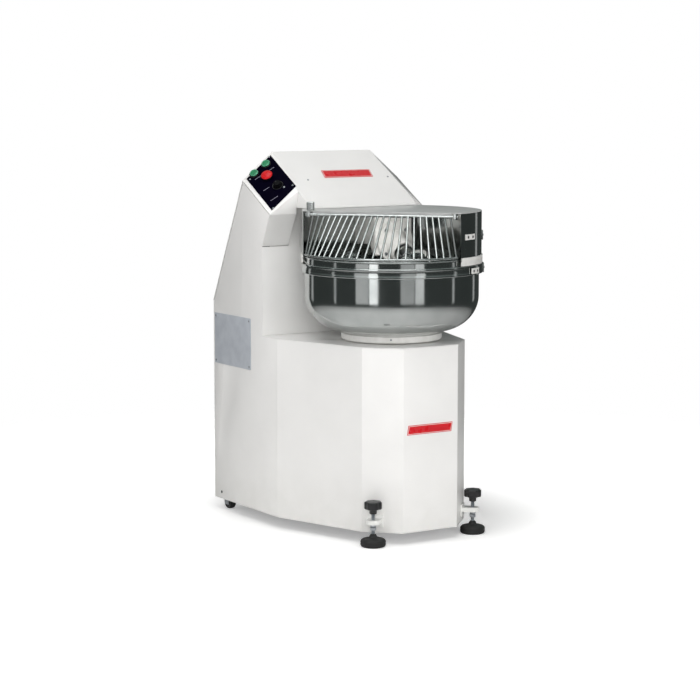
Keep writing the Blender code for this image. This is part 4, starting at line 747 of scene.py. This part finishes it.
def make_flange():
    """The bearing flange: a turned disc with a raised step, the inclined boss on it, four bolts."""
    face = Vector(JOINTS["fork_turn"]["pos_m"])
    front = towards(face, (0, -1, 0))
    disc = turned(mm(
        (0, 0.5), (70, 0.5), (70, 9.5), (69.3, 11.2), (67.5, 12), (50, 12), (48, 12.4), (46.5, 13.6),
        (44, 14), (0, 14)), 96, front)
    boss = turned(mm(
        (0, 2), (46, 2), (43, 18), (41, 26), (40, 32), (40, 59.5), (39.3, 61.3), (37.5, 62), (33, 62),
        (31.3, 61), (31.3, 57), (0, 57)), 72, fork_place())
    piece("fork_flange_casting", together(disc, boss), ENAMEL, "fork_flange", sharp=40)
    bolts, bolt_circle = [], 56 * MM
    for index in range(4):
        turn = pi / 4 + index * pi / 2
        spot = front @ Vector((bolt_circle * cos(turn), bolt_circle * sin(turn), 11.8 * MM))
        bolts.append(hex_bolt(towards(spot, (0, -1, 0)), 10 * MM, 4.4 * MM, (6.2 * MM, 1.2 * MM)))
    piece("fork_flange_bolts", together(*bolts), SCREW, body="machine")


def tine(side, count=72):
    """A tine: its reach from the axis rises as a sine to its bow and falls a little towards the tip,
    its angle grows evenly by a slow twist, and its thickness rounds off at the tip as a quarter circle."""
    share = np.linspace(0, 1, count)
    start, end = 0.091, 0.292
    height = start + (end - start) * (1 - (1 - share) ** 1.25)
    bow = 0.118 * np.sin(np.minimum(1.0, share * 1.22) * pi / 2)
    fall = 0.020 * np.maximum(0.0, share - 0.72) / 0.28
    radius, twist = 0.006 + (bow - fall) * 0.94, radians(30) * share
    path = np.column_stack([side * radius * np.cos(twist), side * radius * np.sin(twist), height])
    ends = np.clip((1 - share) * 16, 0, 1)
    thickness = 11.5 * MM * np.sqrt(np.clip(1 - (1 - ends) ** 2, 0.0, 1)) * (1.0 - 0.10 * share)
    return tube(path, np.maximum(thickness, 0.2 * MM), 24, (0.3, 0.5, 0.1))


def make_fork():
    """The forged and polished fork: a turned hub, two bowed tines, and the pin through hub and shaft."""
    place = fork_place()
    hub = turned(mm(
        (0, 113), (16, 113), (19, 112), (29, 108), (32, 104), (33, 99), (33, 73), (31.5, 69.5), (29, 68),
        (20.4, 68), (20.4, 95), (0, 95)), 72)
    pin = tube(mm(*[(x, 0, 80) for x in np.linspace(-34.5, 34.5, 8)]), 4 * MM, 16)
    piece("fork_forging", placed(together(hub, tine(-1), tine(1), pin), place), SPUN, "fork", sharp=40)


# ---- controls ----------------------------------------------------------------------------------
def shoulder_place(at=(0, 0), lift=0.0):
    """On the control plate: +Z out of it, +Y up it and +X across, at a spot from the plate's centre."""
    low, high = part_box("control_plate")
    out = -Vector(JOINTS["stop_press"]["axis"])
    up = out.cross(Vector((1, 0, 0))).normalized()
    across = up.cross(out)
    turn = Matrix((across, up, out)).transposed().to_4x4()
    return Matrix.Translation((low + high) / 2 + out * 1.0 * MM) @ turn @ Matrix.Translation((*at, lift))


def bezel(radius, height, wall=2.2 * MM):
    """A ring round a control: its section is a small crown."""
    inner = radius + 0.8 * MM
    outer = inner + wall
    crown = [(inner + 0.3 * wall, height + 0.3 * MM), (inner + 0.7 * wall, height + 0.2 * MM)]
    return turned([(inner, 0), (inner, height), *crown, (outer, height * 0.6), (outer, 0)], 48)


def make_control_plate():
    """The control plate with its film, corner screws, bezels, printed lines and lamp."""
    softened("control_plate", "control_plate_film", FILM, 0.4 * MM, (60, 180), 2)
    plate_place = shoulder_place()
    half_width, half_length = PLATE_HALF
    margin = 0.008
    places = []
    for x in (-1, 1):
        for y in (-1, 1):
            lean = x * PLATE_SKEW * (1 - margin / half_width)
            spot = (x * (half_width - margin), y * (half_length - margin) + lean, 0.0)
            places.append(plate_place @ Matrix.Translation(spot))
    screws("control_plate_screws", places, "machine", 3.6 * MM, 1.8 * MM)
    rings = [placed(bezel(14.5 * MM, 3.2 * MM), shoulder_place(at)) for at in START_AT]
    rings.append(placed(bezel(16 * MM, 1.6 * MM), shoulder_place(DIAL_AT)))
    piece("control_bezels", together(*rings), BLACK, body="machine")
    lines = []
    for x, y, length in LABELS:
        slant = Matrix.Translation((x, y, 0)) @ Matrix.Rotation(radians(3), 4, "Z")
        bar = box_outline(length, 2.2 * MM, 0.5 * MM, 2)
        lines.append(plate(bar, -0.1 * MM, 0.15 * MM, 0.05 * MM, 1, slant))
    piece("control_plate_lines", placed(together(*lines), plate_place), LABEL,
          body="machine")
    lamp = turned(mm((0, 2.4), (2.4, 2.0), (3.6, 1.2), (4.2, 0), (0, 0)), 32, shoulder_place(LAMP_AT))
    piece("signal_lamp", lamp, SCREW, body="machine")


def make_buttons():
    """Two green buttons with paler rims, and the red mushroom head on its low collar."""
    for word, at in zip(("one", "two"), START_AT):
        cap = turned(mm(
            (0, 6.9), (8, 6.8), (10.4, 6.5), (11.2, 5.6), (11.2, 4.6), (9, 4.5), (9, -10), (0, -10)),
            64, shoulder_place(at))
        piece(f"start_button_{word}_cap", cap, GREEN, f"start_button_{word}")
        rim = turned(mm(
            (11.3, 4.6), (11.3, 7.6), (12.0, 8.3), (13.3, 8.1), (14.3, 6.9), (14.5, 4.6)),
            64, shoulder_place(at))
        piece(f"start_button_{word}_rim", rim, GREEN_RIM, body=f"start_{word}")
    head = turned(mm(
        (0, 18.8), (6, 18.5), (11, 17.5), (15.5, 15.6), (18.6, 13.2), (19.9, 11.0), (19.6, 9.4),
        (17.5, 7.6), (13.5, 5.9), (12, 4.6), (9, 4.5), (9, -10), (0, -10)), 72, shoulder_place(STOP_AT))
    piece("emergency_stop_head", head, RED, "emergency_stop")
    collar = turned(
        mm((15.5, 0), (15.5, 0.7), (15.0, 1.0), (12.6, 1.0), (12.6, 0)), 64, shoulder_place(STOP_AT))
    piece("emergency_stop_collar", collar, BLACK, body="machine")


def make_dial():
    """The timer's dial: a fluted skirt, r = R - d(1 - cos nt) / 2, a narrower grip and a mark on it."""
    skirt = plate(circle(15 * MM, 144, 24, 0.9 * MM), 0.8 * MM, 6.5 * MM, 0.5 * MM, 2)
    grip = plate(circle(12.2 * MM, 120, 20, 0.8 * MM), 6.4 * MM, 14.2 * MM, 0.9 * MM, 3)
    piece("timer_dial_knob", placed(together(skirt, grip), shoulder_place(DIAL_AT)), JET, "timer_dial")
    mark = plate(box_outline(1.2 * MM, 8 * MM, 0.5 * MM, 3), 14.0 * MM, 14.6 * MM, 0.2 * MM, 1,
                 Matrix.Translation((0, 6.5 * MM, 0)))
    piece("timer_dial_mark", placed(mark, shoulder_place(DIAL_AT)), DARK, body="dial")


# ---- covers and badges -------------------------------------------------------------------------
def make_electrical_cover():
    """The grey cover on the left side, with rounded corners and four screws."""
    low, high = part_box("electrical_cover")
    side = towards((low.x + 3.5 * MM, (low.y + high.y) / 2, (low.z + high.z) / 2), (-1, 0, 0))
    width, length = high.y - low.y, high.z - low.z
    cover = plate(box_outline(width, length, 4 * MM), 0.0, 2.0 * MM, 0.6 * MM, 3, side)
    piece("electrical_cover_plate", cover, GREY, "electrical_cover")
    places = [side @ Matrix.Translation((x * (width / 2 - 10 * MM), y * (length / 2 - 10 * MM), 1.9 * MM))
              for x in (-1, 1) for y in (-1, 1)]
    screws("electrical_cover_screws", places, "machine", 4.0 * MM, 1.5 * MM)


def make_badges():
    """Two plain leaning badges: a red plate, a thin light border and a red field, each a film higher."""
    slope = Vector((1, 0, 0)).cross(HEAD_RIDGE - HEAD_FOOT)
    for node, out, lean in (("badge_head", slope, 6 * MM), ("badge_front", (0, -1, 0), 5 * MM)):
        low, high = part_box(node)
        length = high.z - low.z if node == "badge_front" else 42 * MM
        place = towards((low + high) / 2, out)
        shapes = []
        for trim, base, top in ((0.0, -0.75, 0.55), (2.2, 0.5, 0.62), (3.6, 0.6, 0.74)):
            x, y = (high.x - low.x) / 2 - trim * MM, length / 2 - trim * MM
            outline = rounded([(-x, -y), (x - lean, -y), (x, y), (-x + lean, y)], 1.0 * MM, 3)
            shapes.append(plate(outline, base * MM, top * MM, 0.05 * MM, 1, place))
        piece(node + "_base", shapes[0], BADGE_RED, node)
        piece(node + "_border", shapes[1], BADGE_WHITE, body="machine")
        piece(node + "_field", shapes[2], BADGE_RED, body="machine")


# ---- feet and castors --------------------------------------------------------------------------
def threaded(radius, low, high, pitch, depth, sides=24):
    """A threaded bar: r = R - d tri(z / p - t / 2 pi), a helix on a grid of turn t and height z."""
    heights = np.arange(low, high, pitch / 6)
    turn = np.arange(sides + 1) * tau / sides
    phase = (heights[:, None] / pitch - turn[None, :] / tau) % 1.0
    reach = radius - depth * np.abs(2 * phase - 1)
    z = np.repeat(heights[:, None], sides + 1, axis=1)
    points = np.stack([reach * np.cos(turn), reach * np.sin(turn), z], axis=2)
    axis = np.zeros((1, sides + 1, 3))
    ends = [axis + [0, 0, z] for z in (heights[0], heights[-1])]
    return grid(np.concatenate([ends[0], points, ends[1]]))


def make_foot(word):
    """A screw-down foot: star knob, threaded spindle, hexagon nut, bracket, rubber pad."""
    low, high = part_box(f"foot_pad_{word}")
    centre = Vector(((low.x + high.x) / 2, (low.y + high.y) / 2, 0))
    place = Matrix.Translation(centre)
    pad = turned(mm(
        (0, 41), (8, 41), (9.5, 40), (13.5, 32.5), (18, 29.5), (30, 27.2), (36, 25.2), (40, 21.5),
        (41.4, 17), (40.6, 13), (41.4, 10.5), (41.2, 6), (38.5, 1.5), (35.5, 0), (0, 0)), 72, place)
    piece(f"foot_pad_{word}_disc", pad, RUBBER, f"foot_pad_{word}", sharp=50)
    spindle = threaded(6 * MM, 41.4 * MM, 110 * MM, 1.75 * MM, 0.9 * MM)
    hexagon = rounded(circle(11 * MM, 6), 0.8 * MM, 2)
    nut = plate(hexagon, 53.5 * MM, 63.5 * MM, 0.8 * MM, 3)
    lock = plate(hexagon, 66 * MM, 72.2 * MM, 0.8 * MM, 3)
    piece(f"foot_spindle_{word}", placed(together(spindle, nut, lock), place), ZINC, f"foot_screw_{word}")
    star = plate(circle(29 * MM, 168, 7, 3.0 * MM), 122 * MM, 148 * MM, 5.0 * MM, 5)
    hub = turned(mm((0, 124), (15, 124), (12.5, 118), (12, 108.5), (11, 107.2), (0, 107.2)), 40)
    cap = turned(mm((0, 148.0), (9, 147.9), (9.6, 147.0), (9.6, 146), (0, 146)), 40)
    piece(f"foot_knob_{word}", placed(together(star, hub, cap), place), BLACK,
          body=f"foot_screw_{word}", sharp=45)
    softened(f"foot_bracket_{word}", f"foot_bracket_{word}_weldment", BRACKET_WHITE, 1.0 * MM)


def make_castors():
    """The castors: wheels whose tyre is crowned as r = R - c s^4 across its width, and pressed brackets."""
    across = np.linspace(1, -1, 9)
    tyre = np.column_stack([25 * MM - 2.4 * MM * across ** 4, 10.6 * MM * across])
    face = mm((4.6, 11), (8, 11), (10, 8), (18, 8), (20, 10.6))
    profile = np.concatenate([face, tyre, face[::-1] * (1, -1)])
    for word in ("left", "right"):
        low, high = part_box(f"castor_wheel_{word}")
        wheel = turned(profile, 64, towards((low + high) / 2, (1, 0, 0)))
        piece(f"castor_wheel_{word}_tyre", wheel, BLACK, f"castor_wheel_{word}", sharp=45)
        softened(f"castor_bracket_{word}", f"castor_bracket_{word}_pressing", ZINC, 0.4 * MM, (60, 180), 2)


# ---- what is inside ----------------------------------------------------------------------------
INNER = {
    "base_plate": PRIMER, "mast": PRIMER, "bowl_bearing_housing": TURNED, "bowl_bearing_upper": TURNED,
    "bowl_bearing_lower": TURNED, "bowl_spindle": TURNED, "fork_bearing": TURNED, "fork_shaft": TURNED,
    "fork_gearbox": CAST_ALUMINIUM, "bowl_gearbox": CAST_ALUMINIUM, "drive_motor": MOTOR,
    "motor_pulley": TURNED, "fork_pulley": TURNED, "bowl_pulley": TURNED,
    "fork_belt": BELT, "bowl_belt": BELT, "control_box": BLACK,
}


def dress_inner_nodes():
    """The hidden machinery keeps its CAD shape and takes its finish."""
    for name, finish in INNER.items():
        mesh = frame["nodes"][name].data
        mesh.materials.clear()
        mesh.materials.append(finish)


# ---- studio ------------------------------------------------------------------------------------
def make_floor():
    """A pale floor that brightens and then fades out towards its rim, so that it has no horizon."""
    made = bpy.data.materials.new("studio_floor")
    made.use_nodes = True
    tree = made.node_tree
    shader = tree.nodes["Principled BSDF"]
    shader.inputs["Base Color"].default_value = linear("#F4F4F3")
    shader.inputs["Roughness"].default_value = 0.85
    shader.inputs["Emission Color"].default_value = linear("#FFFFFF")
    place = add_node(tree, "ShaderNodeTexCoord").outputs["Object"]
    reach = add_node(tree, "ShaderNodeVectorMath", {0: place}, operation="LENGTH").outputs["Value"]
    fade = add_node(
        tree, "ShaderNodeMapRange",
        {"Value": reach, "From Min": 1.3, "From Max": 2.6, "To Min": 1.0, "To Max": 0.0},
    ).outputs[0]
    far = add_node(
        tree, "ShaderNodeMapRange",
        {"Value": reach, "From Min": 0.45, "From Max": 0.95, "To Min": 0.30, "To Max": 1.0},
    ).outputs[0]
    seen = add_node(tree, "ShaderNodeLightPath").outputs["Is Camera Ray"]
    glow = add_node(tree, "ShaderNodeMath", {0: far, 1: seen}, operation="MULTIPLY").outputs[0]
    tree.links.new(fade, shader.inputs["Alpha"])
    tree.links.new(glow, shader.inputs["Emission Strength"])
    disc = plate(circle(2.7, 96), -0.02, 0.0, 1 * MM, 1)
    floor = bpy.data.objects.new("studio_floor", mesh_of("studio_floor", disc))
    floor.data.materials.append(made)
    bpy.context.scene.collection.objects.link(floor)


def make_world():
    """White behind the object, an even soft fill for matt surfaces, and a dim room under a brighter ceiling
    in reflections, so that polished metal stays dark between the softboxes."""
    world = bpy.data.worlds.new("studio")
    world.use_nodes = True
    tree = world.node_tree
    tree.nodes.clear()
    direction = add_node(tree, "ShaderNodeTexCoord").outputs["Generated"]
    up = add_node(tree, "ShaderNodeSeparateXYZ", {"Vector": direction}).outputs["Z"]
    glow = add_node(
        tree, "ShaderNodeMapRange",
        {"Value": up, "From Min": 0.09, "From Max": 0.62, "To Min": ROOM[0], "To Max": ROOM[1]}).outputs[0]
    room, fill, backdrop = (
        add_node(tree, "ShaderNodeBackground", {"Color": linear(colour), "Strength": strength}).outputs[0]
        for colour, strength in (("#F0FFFB", glow), ("#FFFCFA", FILL), ("#FFFFFF", 1.0))
    )
    rays = add_node(tree, "ShaderNodeLightPath").outputs
    lit = add_node(tree, "ShaderNodeMixShader", {0: rays["Is Glossy Ray"], 1: fill, 2: room}).outputs[0]
    mixed = add_node(
        tree, "ShaderNodeMixShader", {0: rays["Is Camera Ray"], 1: lit, 2: backdrop}
    ).outputs[0]
    add_node(tree, "ShaderNodeOutputWorld", {"Surface": mixed})
    bpy.context.scene.world = world


def softbox(name, bearing, distance, width, height, middle, power, aim=0.75):
    """An area light at a bearing about the bowl's axis, in degrees from +X, turned to it.
    A fill lights only matt surfaces, and a strip is seen only in reflections."""
    light = bpy.data.lights.new(name, "AREA")
    light.shape = "RECTANGLE"
    light.size, light.size_y, light.energy = width, height, power
    made = bpy.data.objects.new(name, light)
    turn = radians(bearing)
    made.location = BOWL_CENTRE + Vector((distance * cos(turn), distance * sin(turn), middle))
    sight = BOWL_CENTRE + Vector((0, 0, aim)) - made.location
    made.rotation_euler = sight.to_track_quat("-Z", "Y").to_euler()
    made.visible_camera = False
    made.visible_glossy = not name.endswith("fill")
    made.visible_diffuse = not name.endswith("strip")
    bpy.context.scene.collection.objects.link(made)


def make_lights():
    """Even fills for the white body, upright strips that make the bowl's streaks, and a soft ceiling."""
    softbox("left_fill", 186, 3.6, 1.6, 2.6, 1.35, 12.0)
    softbox("side_fill", 150, 3.6, 1.6, 2.6, 1.35, 30.0)
    softbox("front_fill", 238, 4.5, 2.2, 2.0, 1.2, 72.0)
    softbox("right_fill", 284, 4.2, 2.4, 2.4, 1.3, 58.0)
    softbox("nose_fill", 236.5, 0.13, 0.08, 0.08, 1.02, 0.7, 0.99)
    softbox("overhead", 230, 1.3, 3.0, 3.0, 3.6, 72.0)
    softbox("key_strip", 214, 3.6, 0.72, 2.6, 1.35, 9.5)
    softbox("left_strip", 199, 3.6, 1.10, 2.6, 1.35, 5.0)
    softbox("right_dim_strip", 256.5, 3.6, 1.15, 2.6, 1.35, 4.2)
    softbox("right_strip", 272, 3.6, 0.75, 2.6, 1.35, 5.2)
    softbox("left_thin_strip", 160, 3.6, 0.22, 2.6, 1.35, 0.8)
    softbox("left_rear_strip", 112, 3.6, 0.35, 2.4, 1.35, 1.2)
    softbox("right_thin_strip", 322, 3.6, 0.22, 2.6, 1.35, 0.9)
    softbox("right_rear_strip", 10, 3.6, 0.40, 2.4, 1.35, 1.2)


def make_camera():
    """A long lens in front and to the left, a little above the machine."""
    camera = bpy.data.cameras.new("camera")
    camera.lens, camera.sensor_width = 110.0, 36.0
    made = bpy.data.objects.new("camera", camera)
    yaw, pitch = radians(32.454), radians(7.142)
    made.location = (-3.8937, -6.0428, 1.4873)
    made.rotation_euler = (pi / 2 - pitch, 0.0, -yaw)
    bpy.context.scene.collection.objects.link(made)
    bpy.context.scene.camera = made


# ---- everything --------------------------------------------------------------------------------
make_camera()
make_apron()
make_body()
make_louvres()
make_body_screws()
make_bowl()
make_collar()
make_guard_sheet()
make_guard_skirt()
make_guard_cover()
make_flap()
make_guard_fittings()
make_joint_plates()
make_nose()
make_flange()
make_fork()
make_control_plate()
make_buttons()
make_dial()
make_electrical_cover()
make_badges()
make_foot("left")
make_foot("right")
make_castors()
dress_inner_nodes()
make_floor()
make_world()
make_lights()
bpy.context.scene.view_settings.view_transform = "Standard"
